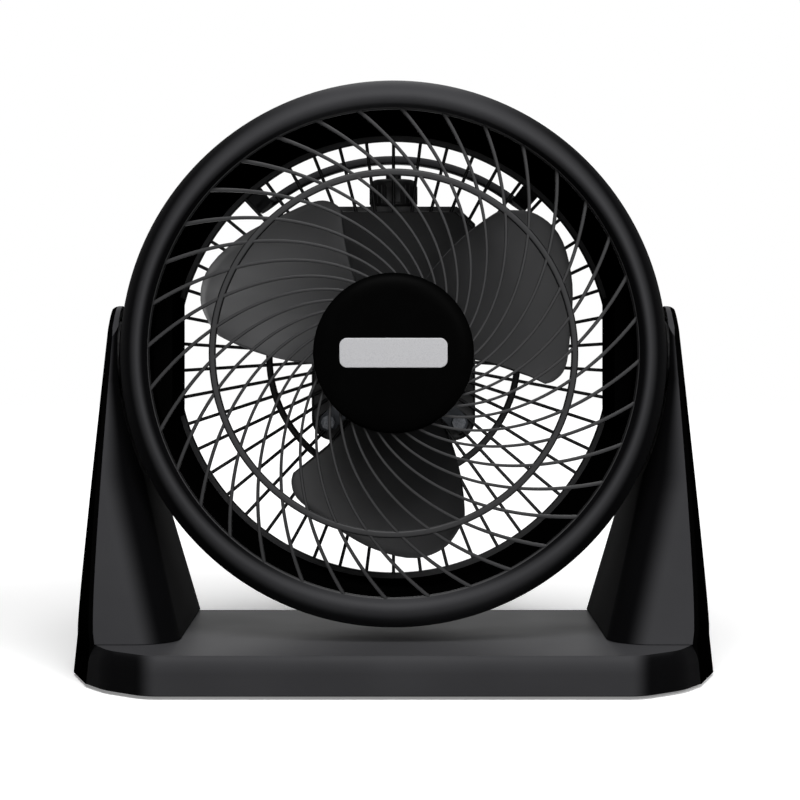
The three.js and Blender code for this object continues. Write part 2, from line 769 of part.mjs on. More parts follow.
// The duct narrows a little to the back, and its flange lies behind the housing's rear edge.
function duct() {
  let shell = turned([
    [ductFrontRadius, ductFront], [ductFrontRadius + ductWall, ductFront],
    [ductRearRadius + ductWall, flangeFront - ringScrewLength],
    [ductRearRadius + ductWall, flangeFront],
    [housingRearRadius, flangeFront], [housingRearRadius, flangeBack - flangeBevel],
    [housingRearRadius - flangeBevel, flangeBack], [ductRearRadius, flangeBack],
  ]);
  const reach = headRadius - housingWall - fittingDepth - clearance;
  const taper = ductTaper / (flangeBack - ductFront);
  const middle = (y) => ductFrontRadius + ductWall / 2 - taper * (y - ductFront);
  const within = turned([[0, flatFront], [middle(flatFront), flatFront],
    [middle(flangeBack), flangeBack], [0, flangeBack]]);
  let bosses = block([flatX, ductFrontRadius + ductWall], [flatFront, flangeBack],
    [-flatHalfHeight, flatHalfHeight]).intersect(within);
  bosses = bosses.add(along('x', disc(padRadius - ductWall, flatX + ductWall, reach, midFacets)));
  const bore = along('x', disc(pivotShankRadius + threadPlay,
    pivotHeadX - pivotShankLength - overcut, headRadius, smallFacets));
  shell = shell.add(bosses).add(mirrored(bosses)).subtract(bore).subtract(mirrored(bore));
  for (const angle of ringScrewAngles) {
    const [x, z] = polar(ringScrewRadius, angle);
    const hole = disc(slimShankRadius + threadPlay, 0, flangeBack + overcut, smallFacets);
    shell = shell.subtract(moved(hole, x, 0, z));
  }
  return shell;
}

// ---- Head: front grille, nose cap and plate

const grilleRise = (r) => -grilleDome * (1 - (r / grilleOuterRadius) ** 2);

// A point on the edge of a wire, which follows a log spiral and tapers towards the hub.
function wireEdge(radius, turn, side) {
  const share = (radius - hubPlateRadius) / (grilleOuterRadius - hubPlateRadius);
  const half = side * lerp(wireWidthHub, wireWidthRim, share) / 2;
  const swept = wireSweep * Math.log(radius / (ductFrontRadius + wireLead));
  const angle = turn + THREE.MathUtils.radToDeg(swept);
  const [x, z] = polar(radius, angle);
  const across = polar(half, angle + 90 + THREE.MathUtils.radToDeg(Math.atan(wireSweep)));
  return [x + across[0], z + across[1]];
}

// The openings between neighbouring wires, from one radius out to another.
function wireGaps(inner, outer, steps) {
  const pitch = 360 / wireCount;
  const radii = Array.from({ length: steps + 1 }, (_, i) => inner * (outer / inner) ** (i / steps));
  return Array.from({ length: wireCount }, (_, i) => {
    const turn = wirePhase + i * pitch;
    const near = radii.map((radius) => wireEdge(radius, turn, 1));
    const far = radii.map((radius) => wireEdge(radius, turn + pitch, -1));
    return [...near, ...far.reverse()];
  });
}

function frontGrille() {
  const bandInner = grilleOuterRadius - grilleBandWidth;
  const gaps = [
    ...wireGaps(hubPlateRadius, grilleRingRadius - grilleRingWidth / 2, 4),
    ...wireGaps(grilleRingRadius + grilleRingWidth / 2, bandInner, 3),
  ];
  const flat = pierced(grilleOuterRadius, 2 * wireCount, gaps, 0, wireDepth);
  return domed(flat, (r) => grilleFront + grilleRise(r));
}

const capBack = grilleFront + grilleRise(hubPlateRadius) - clearance;
const capFront = capBack - capDepth;

const plateShape = (grow) => {
  const w = plateWidth / 2 + grow;
  const h = plateHeight / 2 + grow;
  const r = plateCorner + grow;
  const shape = new THREE.Shape();
  shape.absarc(w - r, h - r, r, 0, Math.PI / 2);
  shape.absarc(r - w, h - r, r, Math.PI / 2, Math.PI);
  shape.absarc(r - w, r - h, r, Math.PI, Math.PI * 1.5);
  shape.absarc(w - r, r - h, r, Math.PI * 1.5, Math.PI * 2);
  return shape;
};

const plateFront = capFront - plateProud;
const plateBack = plateFront + plateThick;

function noseCap() {
  const floor = plateBack + clearance + capWall;
  const cap = turned([
    [0, capFront], [capFlatRadius, capFront], [lerp(capFlatRadius, capRadius, 0.57), capFront
      + capDepth * 0.14], [lerp(capFlatRadius, capRadius, 0.88), capFront + capDepth * 0.43],
    [capRadius, capFront + capDepth * 0.77], [capRadius, capBack],
    [capRadius - capWall, capBack], [capRadius - capWall, capFront + capDepth * 0.75],
    [capFlatRadius, floor], [0, floor],
  ], hubFacets);
  return cap.subtract(facing(plateShape(clearance), capFront - overcut, plateBack + clearance, 4));
}

add(head, 'housing', housing(), blackAbs);
add(head, 'duct', duct(), blackSatin);
add(head, 'front_grille', frontGrille(), blackSatin);
add(head, 'nose_cap', noseCap(), capBlack);
add(head, 'name_plate_blank', facing(plateShape(0), plateFront, plateBack, 4), silver);

// ---- Head: rear grille and handle

const rearRise = (r) => rearDome * Math.min(Math.max((rearRingInner - r)
  / (rearRingInner - rearHubOuter), 0), 1);
const bossAngles = [45, 135, 225, 315];
const screwHole = disc(screwShankRadius + threadPlay, 0, coverBack + overcut, smallFacets);
const motorBossFront = rearGrilleFront + rearRise(bossCircle) - bossFront;
const bossEnd = rearGrilleBack + rearRise(bossCircle) + bossBack;

// The openings between neighbouring straight ribs, from one radius out to another.
function ribGaps(inner, outer) {
  const pitch = 360 / ribCount;
  const edge = (radius, turn, side) =>
    polar(radius, turn + side * THREE.MathUtils.radToDeg(ribWidth / 2 / radius));
  return Array.from({ length: ribCount }, (_, i) => {
    const turn = 90 + i * pitch;
    return [edge(inner, turn, 1), edge(outer, turn, 1), edge(outer, turn + pitch, -1),
      edge(inner, turn + pitch, -1)];
  });
}

function rearGrille() {
  const gaps = [
    ...ribGaps(rearHubOuter, rearMidRadius - rearMidWidth / 2),
    ...ribGaps(rearMidRadius + rearMidWidth / 2, rearRingInner),
  ];
  const bore = Array.from({ length: ribCount / 2 }, (_, i) => polar(rearHubInner, 720 * i / ribCount));
  const flat = pierced(rearRingOuter, ribCount, [bore, ...gaps], 0, ribDepth);
  let grille = domed(flat, (r) => rearGrilleFront + rearRise(r));
  for (const angle of bossAngles) {
    const [x, z] = polar(bossCircle, angle);
    const boss = disc(bossRadius, motorBossFront, bossEnd, smallFacets);
    grille = grille.add(moved(boss, x, 0, z)).subtract(moved(screwHole, x, 0, z));
  }
  for (const angle of ringScrewAngles) {
    const [x, z] = polar(ringScrewRadius, angle);
    const lug = disc(lugRadius, rearGrilleFront, rearGrilleBack, smallFacets);
    const hole = disc(slimShankRadius + threadPlay, 0, coverBack, smallFacets);
    grille = grille.add(moved(lug, x, 0, z)).subtract(moved(hole, x, 0, z));
  }
  for (const angle of handleAngles) {
    const [x, z] = polar(handleScrewRadius, angle);
    const pilot = disc(screwShankRadius + threadPlay, handleFoot + handlePad - handleScrewLength,
      coverBack, smallFacets);
    grille = grille.subtract(moved(pilot, x, 0, z));
  }
  return grille;
}

const handleAngles = [handleStart + handlePost / 2, handleEnd - handlePost / 2];
const handleScrewRadius = (rearRingInner + rearRingOuter) / 2;
const handleFoot = rearGrilleBack + rearRise(handleRadius - handleWidth / 2) + clearance;

// A stretch of an arch about the shaft.
function arch(inner, outer, from, to, start, end, steps) {
  const shape = new THREE.Shape();
  shape.absarc(0, 0, outer, radians(start), radians(end));
  shape.absarc(0, 0, inner, radians(end), radians(start), true);
  return facing(shape, from, to, steps);
}

function handle() {
  const inner = handleRadius - handleWidth / 2;
  const outer = handleRadius + handleWidth / 2;
  const bar = arch(inner, outer, handleBack - handleBar, handleBack, handleStart, handleEnd, 18);
  const ends = [handleStart, handleEnd - handlePost].map((start) =>
    arch(inner, outer, handleFoot, handleBack - overcut, start, start + handlePost, 2)
      .add(arch(inner, rearRingOuter - clearance, handleFoot, handleFoot + handlePad,
        start, start + handlePost, 2)));
  let whole = joined([bar, ...ends]);
  for (const angle of handleAngles) {
    const [x, z] = polar(handleScrewRadius, angle);
    whole = whole.subtract(moved(screwHole, x, 0, z));
  }
  return whole;
}

add(head, 'rear_grille', rearGrille(), blackSatin);
add(head, 'carrying_handle', handle(), blackAbs);

// ---- Head: motor cover, switch and knob

function coverShape(inset) {
  const w = coverHalfWidth - inset;
  const top = coverTop - inset;
  const topHalf = coverTopHalfWidth - inset * 0.4;
  const bottom = coverBottom + inset;
  const corner = coverCorner - inset;
  const shape = new THREE.Shape();
  shape.moveTo(topHalf, top);
  shape.lineTo(-topHalf, top);
  shape.lineTo(-w, coverTop - coverShoulder[1] - inset * 0.4);
  shape.lineTo(-w, bottom + corner);
  shape.absarc(corner - w, bottom + corner, corner, Math.PI, Math.PI * 1.5);
  shape.absarc(w - corner, bottom + corner, corner, Math.PI * 1.5, Math.PI * 2);
  shape.lineTo(w, coverTop - coverShoulder[1] - inset * 0.4);
  shape.closePath();
  return shape;
}

const coverScrewHead = coverBack - coverScrewSunk;

function motorCover() {
  let cover = facing(coverShape(0), coverFront, coverBack - coverBevel, 5)
    .add(facing(coverShape(coverBevel), coverBack - coverWall, coverBack, 5));
  cover = cover.subtract(facing(coverShape(coverWall), coverFront + coverFace,
    coverBack - coverWall, 5));
  cover = cover.subtract(disc(shaftRadius + coverShaftPlay, 0, coverFront + coverFace + overcut,
    midFacets));
  for (const angle of bossAngles) {
    const [x, z] = polar(bossCircle, angle);
    const post = disc(coverPostRadius, bossEnd + clearance, coverBack - coverWall / 2, smallFacets);
    const seat = disc(bossRadius + clearance, 0, bossEnd + clearance, smallFacets);
    const sink = disc(screwHeadRadius + clearance, coverScrewHead - screwHeadThickness - clearance,
      coverBack + overcut, smallFacets);
    cover = cover.add(moved(post, x, 0, z)).subtract(moved(seat, x, 0, z));
    cover = cover.subtract(moved(screwHole, x, 0, z)).subtract(moved(sink, x, 0, z));
  }
  for (let i = 0; i < ventCount; i += 1) {
    const z = (i - (ventCount - 1) / 2) * ventPitch;
    cover = cover.subtract(block([-ventHalfLength, ventHalfLength],
      [coverBack - 2 * coverWall, coverBack + overcut], [z - ventWidth / 2, z + ventWidth / 2]));
  }
  const shaftHole = disc(knobShaftRadius + clearance, coverTop - coverWall - overcut,
    coverTop + overcut, midFacets);
  cover = cover.subtract(along('z', shaftHole, 0, coverMiddle, 0));
  const glandHole = disc(glandRadius - glandNeck, coverBottom - overcut,
    coverBottom + coverWall + overcut, midFacets);
  return cover.subtract(along('z', glandHole, 0, coverMiddle, 0));
}

// The switch hangs under the cover's top, and its shaft passes through into the knob.
function rotarySwitch() {
  const top = coverTop - coverWall - clearance;
  const depth = coverDepth / 2 - coverWall - clearance;
  const shaft = disc(knobShaftRadius, top - overcut, coverTop + knobHeight - knobCrown - clearance,
    midFacets);
  return block([-switchSize / 2, switchSize / 2], [coverMiddle - depth, coverMiddle + depth],
    [top - switchHeight, top]).add(along('z', shaft, 0, coverMiddle, 0));
}

function knob() {
  const foot = coverTop + clearance;
  const top = coverTop + knobHeight;
  const body = turned([
    [0, foot], [knobRadius, foot], [knobRadius, top - knobChamfer],
    [knobRadius - knobChamfer, top], [0, top],
  ], motorFacets);
  const bore = disc(knobShaftRadius + clearance, foot - overcut, top - knobCrown, midFacets);
  const gripReach = knobRadius - knobGripInset;
  const grip = block([-knobGripWidth / 2, knobGripWidth / 2],
    [coverMiddle - gripReach, coverMiddle + gripReach], [top - overcut, top + knobGripHeight]);
  return along('z', body.subtract(bore), 0, coverMiddle, 0).add(grip);
}

// A flanged collar in the cover's underside, where the mains lead enters.
function gland() {
  const neck = glandRadius - glandNeck - clearance;
  const end = coverBottom + coverWall + glandFlange;
  const ring = turned([
    [glandBore, coverBottom - glandDrop], [neck, coverBottom - glandDrop],
    [glandRadius, coverBottom - glandFlange], [glandRadius, coverBottom - clearance],
    [neck, coverBottom - clearance], [neck, end], [glandBore, end],
  ], midFacets);
  return along('z', ring, 0, coverMiddle, 0);
}

add(head, 'motor_cover', motorCover(), blackAbs);
add(head, 'rotary_switch', rotarySwitch(), nylon);
add(head, 'speed_knob', knob(), blackSatin);
add(head, 'cord_gland', gland(), rubber);

// ---- Head: motor

const earBack = motorBossFront - clearance;
const earFront = earBack - bellWall;

function frontBell() {
  return turned([
    [bushRadius + clearance, motorFront], [motorRadius - bellRound, motorFront],
    [motorRadius, motorFront + bellRound], [motorRadius, coreFront - clearance],
    [motorRadius - bellWall, coreFront - clearance],
    [motorRadius - bellWall, motorFront + bellRound + bellWall / 3],
    [motorRadius - bellRound - bellWall / 2, motorFront + bellWall],
    [bushRadius + clearance, motorFront + bellWall],
  ], motorFacets);
}

// The rear bell carries four ears that reach the grille's bosses.
function rearBell() {
  const bell = turned([
    [bushRadius + clearance, earBack - bellWall], [motorRadius - bellWall, earBack - bellWall],
    [motorRadius - bellWall, coreBack + clearance], [motorRadius, coreBack + clearance],
    [motorRadius, earBack], [bushRadius + clearance, earBack],
  ], motorFacets);
  const ear = block([motorRadius - bellWall / 2, bossCircle], [earFront, earBack],
    [-earRadius, earRadius])
    .add(moved(disc(earRadius, earFront, earBack, smallFacets), bossCircle, 0, 0));
  const hole = moved(screwHole, bossCircle, 0, 0);
  return joined([bell, ...bossAngles.map((angle) => spun(ear.subtract(hole), angle))]);
}

const bush = (from, to) => turned([
  [shaftRadius + clearance, from], [bushRadius, from], [bushRadius, to],
  [shaftRadius + clearance, to],
], midFacets);

const flangedBush = (from, to) => joined([bush(from, to), collar(shaftRadius + clearance,
  bushRadius + bushFlange, to - bushSeat, to, midFacets)]);

add(head, 'motor_front_bell', frontBell(), laminated);
add(head, 'motor_rear_bell', rearBell(), laminated);
add(head, 'stator_core', collar(rotorRadius + airGap, motorRadius, coreFront, coreBack,
  motorFacets), laminated);
add(head, 'front_winding', collar(windingInner, windingOuter,
  coreFront - clearance - windingDepth, coreFront - clearance, motorFacets), copper);
add(head, 'rear_winding', collar(windingInner, windingOuter,
  coreBack + clearance, coreBack + clearance + windingDepth, motorFacets), copper);
add(head, 'front_bush', flangedBush(motorFront - bushProud,
  motorFront + bellWall + clearance + bushSeat), bronze);
const rearBushEnd = earBack + clearance + bushSeat;
add(head, 'rear_bush', flangedBush(earBack - bellWall - bushProud, rearBushEnd), bronze);

// ---- Head: screws

bossAngles.forEach((angle, i) => {
  const [x, z] = polar(bossCircle, angle);
  const fromFront = screw(earFront - clearance - screwHeadThickness, motorScrewLength);
  add(head, `motor_screw_${i + 1}`, moved(fromFront, x, 0, z), steel);
  const length = coverScrewHead - screwHeadThickness - bossEnd + coverScrewGrip;
  add(head, `cover_screw_${i + 1}`, moved(flipped(screw(-coverScrewHead, length)), x, 0, z), steel);
});
ringScrewAngles.forEach((angle, i) => {
  const [x, z] = polar(ringScrewRadius, angle);
  const face = rearGrilleBack + clearance + slimHeadThickness;
  const made = screw(-face, ringScrewLength, slimHeadRadius, slimHeadThickness, slimShankRadius);
  add(head, `ring_screw_${i + 1}`, moved(flipped(made), x, 0, z), steel);
});
handleAngles.forEach((angle, i) => {
  const [x, z] = polar(handleScrewRadius, angle);
  const face = handleFoot + handlePad + clearance + screwHeadThickness;
  const made = flipped(screw(-face, handleScrewLength));
  add(head, `handle_screw_${i + 1}`, moved(made, x, 0, z), steel);
});
for (const [side, sided] of [['right', (solid) => solid], ['left', mirrored]]) {
  const face = pivotHeadX + pivotHeadThickness;
  const made = screw(-face, pivotShankLength, pivotHeadRadius, pivotHeadThickness, pivotShankRadius);
  add(head, `${side}_pivot_screw`, sided(along('x', flipped(made))), steel);
}

// ---- Rotor

// A blade's tip along its chord, from the leading to the trailing corner: the share of the blade's
// radius by which each point lies inside it.
const bladeTip = new THREE.SplineCurve([
  [0, 0.23], [0.03, 0.185], [0.1, 0.143], [0.26, 0.119], [0.38, 0.0895], [0.54, 0.04], [0.72, 0],
  [0.85, 0.025], [0.94, 0.0895], [1, 0.15],
].map(([share, inset]) => new THREE.Vector2(share, bladeRadius * (1 - inset))));
const bladeRoot = [119, 188.5];    // degrees of the leading and trailing edge at the hub
const bladeEnd = [109.4, 174];     // the same at the tip

function blade() {
  const chordSteps = 8;
  const spanSteps = 4;
  const root = hubRadius - hubWall * 0.6;
  const rings = [];
  for (let i = 0; i <= chordSteps; i += 1) {
    const tip = bladeTip.getPoint(i / chordSteps);
    const front = [];
    const back = [];
    for (let j = 0; j <= spanSteps; j += 1) {
      const out = j / spanSteps;
      const radius = lerp(root, tip.y, out);
      const angle = radians(lerp(lerp(...bladeRoot, tip.x), lerp(...bladeEnd, tip.x), out));
      const depth = lerp(bladeRear, bladeFront, tip.x) + bladeCamber * 4 * tip.x * (1 - tip.x);
      const [x, z] = [radius * Math.cos(angle), radius * Math.sin(angle)];
      const half = bladeThickness / 2 * (1 - 0.6 * Math.abs(2 * tip.x - 1) ** 3);
      front.push(new THREE.Vector3(x, depth - half, z));
      back.unshift(new THREE.Vector3(x, depth + half, z));
    }
    rings.push([...front, ...back]);
  }
  return lofted(rings);
}

function impeller() {
  const sleeve = bushRadius + hubSleeve;
  const hub = turned([
    [shaftRadius + clearance, hubFront], [hubRadius - hubRound, hubFront],
    [hubRadius, hubFront + hubRound], [hubRadius, hubBack], [hubRadius - hubWall, hubBack],
    [hubRadius - hubWall, hubFront + hubWall], [sleeve, hubFront + hubWall], [sleeve, hubBack],
    [shaftRadius + clearance, hubBack],
  ], hubFacets);
  const vane = blade();
  const vanes = Array.from({ length: bladeCount }, (_, i) => spun(vane, 360 * i / bladeCount));
  const inside = disc(hubRadius - hubWall * 0.9, hubFront + hubWall, bladeRear + hubWall, hubFacets);
  return joined(vanes).subtract(inside).add(hub);
}

add(head, 'impeller', impeller(), impellerGrey);
const nutFront = nutBack - nutThickness;
const nutBore = disc(shaftRadius + clearance, nutFront - overcut, nutBack + overcut, midFacets);
add(head, 'impeller_nut', disc(nutRadius, nutFront, nutBack, 6).subtract(nutBore), nylon);
const shaftBack = rearBushEnd + shaftTail;
add(head, 'motor_shaft', turned([
  [0, shaftFront], [shaftRadius - shaftTip, shaftFront], [shaftRadius, shaftFront + shaftTip],
  [shaftRadius, shaftBack - shaftTip], [shaftRadius - shaftTip, shaftBack], [0, shaftBack],
], midFacets), steel);
add(head, 'rotor_core', collar(shaftRadius + clearance, rotorRadius, coreFront + airGap,
  coreBack - airGap, motorFacets), laminated);

const fan = new THREE.Group();
fan.add(stand, head);

export default fan;
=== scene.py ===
"""The finished look of an air circulator fan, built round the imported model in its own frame.

Pieces are shaped in millimetres, in the frame of the stand or of the tilted head, and only the
last step puts them in place in metres.
"""
import json
import logging
import math
from dataclasses import dataclass, field
from enum import Enum

import bmesh
import bpy
from bpy.types import Material, Mesh, Node, NodeSocket, NodeTree, Object
from mathutils import Matrix, Vector


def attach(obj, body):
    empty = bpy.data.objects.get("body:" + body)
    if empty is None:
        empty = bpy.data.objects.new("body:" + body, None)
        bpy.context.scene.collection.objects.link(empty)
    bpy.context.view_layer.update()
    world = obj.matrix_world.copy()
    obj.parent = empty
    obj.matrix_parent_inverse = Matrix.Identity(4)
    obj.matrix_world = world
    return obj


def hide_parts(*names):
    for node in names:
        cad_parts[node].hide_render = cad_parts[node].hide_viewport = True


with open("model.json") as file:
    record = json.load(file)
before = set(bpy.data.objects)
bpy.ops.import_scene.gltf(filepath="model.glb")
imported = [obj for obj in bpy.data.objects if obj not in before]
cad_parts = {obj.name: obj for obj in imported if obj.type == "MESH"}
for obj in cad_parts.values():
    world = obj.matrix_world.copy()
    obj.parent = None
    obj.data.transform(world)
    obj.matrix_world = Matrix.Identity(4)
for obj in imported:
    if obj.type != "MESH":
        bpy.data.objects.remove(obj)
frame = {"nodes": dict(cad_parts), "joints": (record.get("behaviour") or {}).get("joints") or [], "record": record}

log = logging.getLogger("fan")
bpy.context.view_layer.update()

Pair = tuple[float, float]
Triple = tuple[float, float, float]
Colour = tuple[float, float, float, float]

CLEARANCE = 0.3          # mm between pieces that touch
OVERCUT = 1.0            # mm by which a cut runs past the face that it opens
ROUND = 192              # steps round the large turned pieces
SMALL_ROUND = 48         # steps round the small ones
PINHOLE = 0.01           # mm left open at the axis of a turned shape


class Body(Enum):
    """The bodies that a piece can ride on."""

    STAND = "stand"
    HEAD = "head"
    ROTOR = "rotor"
    KNOB = "knob"


class Slot(Enum):
    """The record's material slots."""

    SHELL = "black_abs"
    SATIN = "black_satin_abs"
    CAP = "cap_black"
    PLATE = "silver_plate"
    VANES = "impeller_pp"
    RUBBER = "rubber"
    NYLON = "nylon"
    SCREWS = "screw_steel"
    MOTOR = "motor_steel"
    COPPER = "copper"
    BRONZE = "bronze"


class Finish(Enum):
    """The finishes, each named for its material; the black plastics differ in mould, and in the shade painted on
    walls that face sideways.
    """

    SHELL = "moulded_abs_black"
    ARMS = "moulded_abs_black_arms"
    LINING_PAINTED_SHADE = "moulded_abs_black_painted_shade"
    WIRES = "moulded_abs_black_ribs"
    CAP = "polished_abs_deep_black"
    PLATE = "silver_lacquer"
    VANES = "moulded_polypropylene_graphite"
    RUBBER = "nitrile_rubber"
    NYLON = "glass_filled_nylon_black"
    STEEL = "blackened_steel"
    CORE = "laminated_steel"
    COPPER = "enamelled_copper_winding"
    BRONZE = "sintered_bronze"


SLOT_FINISH = {
    Slot.SHELL: Finish.SHELL, Slot.SATIN: Finish.LINING_PAINTED_SHADE, Slot.CAP: Finish.CAP,
    Slot.PLATE: Finish.PLATE, Slot.VANES: Finish.VANES, Slot.RUBBER: Finish.RUBBER,
    Slot.NYLON: Finish.NYLON, Slot.SCREWS: Finish.STEEL, Slot.MOTOR: Finish.CORE,
    Slot.COPPER: Finish.COPPER, Slot.BRONZE: Finish.BRONZE}


class Side(Enum):
    """A side of the fan, seen from the front, and its direction along X."""

    LEFT = -1
    RIGHT = 1

    @property
    def word(self) -> str:
        """The side's name as the CAD nodes have it."""
        return self.name.lower()


# ---- Frame

def joint(name: str) -> dict:
    """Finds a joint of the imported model.

    Args:
        name: the joint's name.

    Returns:
        The joint as the record holds it.
    """
    return next(item for item in frame["joints"] if item["name"] == name)


def head_frame() -> Matrix:
    """Works out the tilted head's frame: X to the right, Y back along the shaft, Z up.

    Returns:
        The head's frame in the stand's, both in millimetres.
    """
    across = Vector((1, 0, 0))
    rear = -Vector(joint("spin")["axis"]).normalized()
    turn = Matrix((across, rear, across.cross(rear))).transposed().to_4x4()
    return Matrix.Translation(Vector(joint("tilt")["pos_m"]) * 1000) @ turn


METRES = Matrix.Scale(0.001, 4)
MIRROR = Matrix.Scale(-1, 4, Vector((1, 0, 0)))      # of the right side, into the left one
ON_STAND = METRES
ON_HEAD = METRES @ head_frame()
PIVOT_Z = joint("tilt")["pos_m"][2] * 1000


# ---- Shapes in millimetres

@dataclass
class Shape:
    """Points in millimetres, and the faces between them."""

    points: list[Vector] = field(default_factory=list)
    faces: list[tuple[int, ...]] = field(default_factory=list)

    def joined(self, *others: "Shape") -> "Shape":
        """Puts shapes together in one, each still closed by itself.

        Args:
            others: the shapes to add.

        Returns:
            A new shape.
        """
        points, faces = list(self.points), list(self.faces)
        for other in others:
            base = len(points)
            points.extend(other.points)
            faces.extend(tuple(base + i for i in face) for face in other.faces)
        return Shape(points, faces)

    def moved(self, matrix: Matrix) -> "Shape":
        """Applies a matrix to the points, and keeps the faces."""
        return Shape([matrix @ point for point in self.points], list(self.faces))


def lofted(rings: list[list[Vector]], closed: bool = False) -> Shape:
    """Skins a row of rings that all have the same number of points.

    Args:
        rings: the rings in order, each one closed.
        closed: whether the last ring joins the first, instead of both being capped.

    Returns:
        A closed shape.
    """
    size, count = len(rings[0]), len(rings)
    points = [point for ring in rings for point in ring]
    faces = []
    for i in range(count if closed else count - 1):
        near, far = i * size, (i + 1) % count * size
        for j in range(size):
            k = (j + 1) % size
            faces.append((near + j, near + k, far + k, far + j))
    if not closed:
        faces.append(tuple(range(size - 1, -1, -1)))
        faces.append(tuple(range((count - 1) * size, count * size)))
    return Shape(points, faces)


def turned(profile: list[Pair], steps: int = ROUND) -> Shape:
    """Turns a closed outline about the head's Y axis.

    Args:
        profile: radius and depth of each corner of the outline.
        steps: steps round the turn.

    Returns:
        A closed shape.
    """
    turns = [(math.cos(a), math.sin(a)) for a in (math.tau * i / steps for i in range(steps))]
    rings = [[Vector((r * c, depth, r * s)) for c, s in turns]
             for r, depth in ((max(radius, PINHOLE), depth) for radius, depth in profile)]
    return lofted(rings, closed=True)


def peg(radius: float, front: float, back: float, steps: int = SMALL_ROUND) -> Shape:
    """Turns a plain cylinder about the head's Y axis.

    Args:
        radius: its radius.
        front: the Y of its front face.
        back: the Y of its back face.
        steps: steps round the turn.

    Returns:
        A closed shape.
    """
    return turned([(0, front), (radius, front), (radius, back), (0, back)], steps)


def slab(outline: list[Pair], front: float, back: float) -> Shape:
    """Gives a flat outline in X and Z a thickness along Y.

    Args:
        outline: the corners in order.
        front: the Y of its front face.
        back: the Y of its back face.

    Returns:
        A closed shape.
    """
    return lofted([[Vector((x, y, z)) for x, z in outline] for y in (front, back)])


def arc(centre: Pair, radius: float, start: float, end: float, steps: int) -> list[Pair]:
    """Places points along an arc.

    Args:
        centre: its centre.
        radius: its radius.
        start: degrees of its first point.
        end: degrees of its last point.
        steps: stretches between points.

    Returns:
        The points, both ends included.
    """
    angles = [math.radians(start + (end - start) * i / steps) for i in range(steps + 1)]
    return [(centre[0] + radius * math.cos(a), centre[1] + radius * math.sin(a)) for a in angles]


def rounded_box(width: float, height: float, corner: float, steps: int = 8) -> list[Pair]:
    """Draws a rectangle with round corners about the origin.

    Args:
        width: its size across.
        height: its size along the other axis.
        corner: the corners' radius.
        steps: stretches in each corner.

    Returns:
        The outline's points, counter-clockwise.
    """
    x, z = width / 2 - corner, height / 2 - corner
    corners = [(x, z, 0), (-x, z, 90), (-x, -z, 180), (x, -z, 270)]
    return [point for cx, cz, start in corners
            for point in arc((cx, cz), corner, start, start + 90, steps)]


def hoop(inner: float, outer: float, front: float, depth: float, corner: float,
         steps: int) -> Shape:
    """Turns a hoop with rounded edges about the head's Y axis.

    Args:
        inner: its inner radius.
        outer: its outer radius.
        front: the Y of its front.
        depth: its size along Y.
        corner: the radius of its edges.
        steps: stretches in each edge.

    Returns:
        A closed shape.
    """
    middle = (inner + outer) / 2
    section = rounded_box(outer - inner, depth, corner, steps)
    return turned([(middle + x, front + depth / 2 + z) for x, z in section])


def polar(radius: float, degrees: float) -> Pair:
    """Turns a radius and an angle into two flat coordinates."""
    return radius * math.cos(math.radians(degrees)), radius * math.sin(math.radians(degrees))


def lerp(a: float, b: float, share: float) -> float:
    """Goes a share of the way from one value to another."""
    return a + (b - a) * share


def through(points: list[Pair], share: float) -> Pair:
    """Reads a smooth curve that passes through points, as a Catmull-Rom spline does.

    Args:
        points: the points in order.
        share: how far along the row of points, from 0 to 1.

    Returns:
        The curve's point there.
    """
    last = len(points) - 1
    at = min(max(share, 0.0), 1.0) * last
    i = min(int(at), last - 1)
    t = at - i
    p = [Vector(points[min(max(j, 0), last)]) for j in (i - 1, i, i + 1, i + 2)]
    slope_in, slope_out = (p[2] - p[0]) / 2, (p[3] - p[1]) / 2
    curve = ((2 * p[1] - 2 * p[2] + slope_in + slope_out) * t ** 3
             + (3 * p[2] - 3 * p[1] - 2 * slope_in - slope_out) * t ** 2 + slope_in * t + p[1])
    return curve.x, curve.y


# ---- Objects

def smoothed(mesh: Mesh, sharp: float) -> None:
    """Merges doubles, turns the faces outwards and keeps edges sharp above an angle.

    Args:
        mesh: the mesh to clean, in millimetres.
        sharp: degrees between two faces from which their edge stays sharp.
    """
    work = bmesh.new()
    work.from_mesh(mesh)
    bmesh.ops.remove_doubles(work, verts=work.verts, dist=0.0005)
    bmesh.ops.dissolve_degenerate(work, edges=work.edges, dist=0.0002)
    bmesh.ops.recalc_face_normals(work, faces=work.faces)
    work.to_mesh(mesh)
    work.free()
    mesh.shade_smooth()
    mesh.set_sharp_from_angle(angle=math.radians(sharp))


def piece_of(shape: Shape, name: str, sharp: float = 32.0) -> Object:
    """Makes an object of a shape, still in millimetres.

    Args:
        shape: the shape.
        name: the piece's name.
        sharp: degrees from which an edge stays sharp.

    Returns:
        The new object, linked to the scene.
    """
    mesh = bpy.data.meshes.new(name)
    mesh.from_pydata([tuple(point) for point in shape.points], [], shape.faces)
    smoothed(mesh, sharp)
    piece = bpy.data.objects.new(name, mesh)
    bpy.context.scene.collection.objects.link(piece)
    return piece


def settled(piece: Object) -> Object:
    """Turns a piece and its modifiers into one plain mesh.

    Args:
        piece: the piece with live modifiers.

    Returns:
        The same piece with none.
    """
    graph = bpy.context.evaluated_depsgraph_get()
    mesh = bpy.data.meshes.new_from_object(piece.evaluated_get(graph))
    before = piece.data
    piece.modifiers.clear()
    piece.data = mesh
    bpy.data.meshes.remove(before)
    mesh.name = piece.name
    return piece


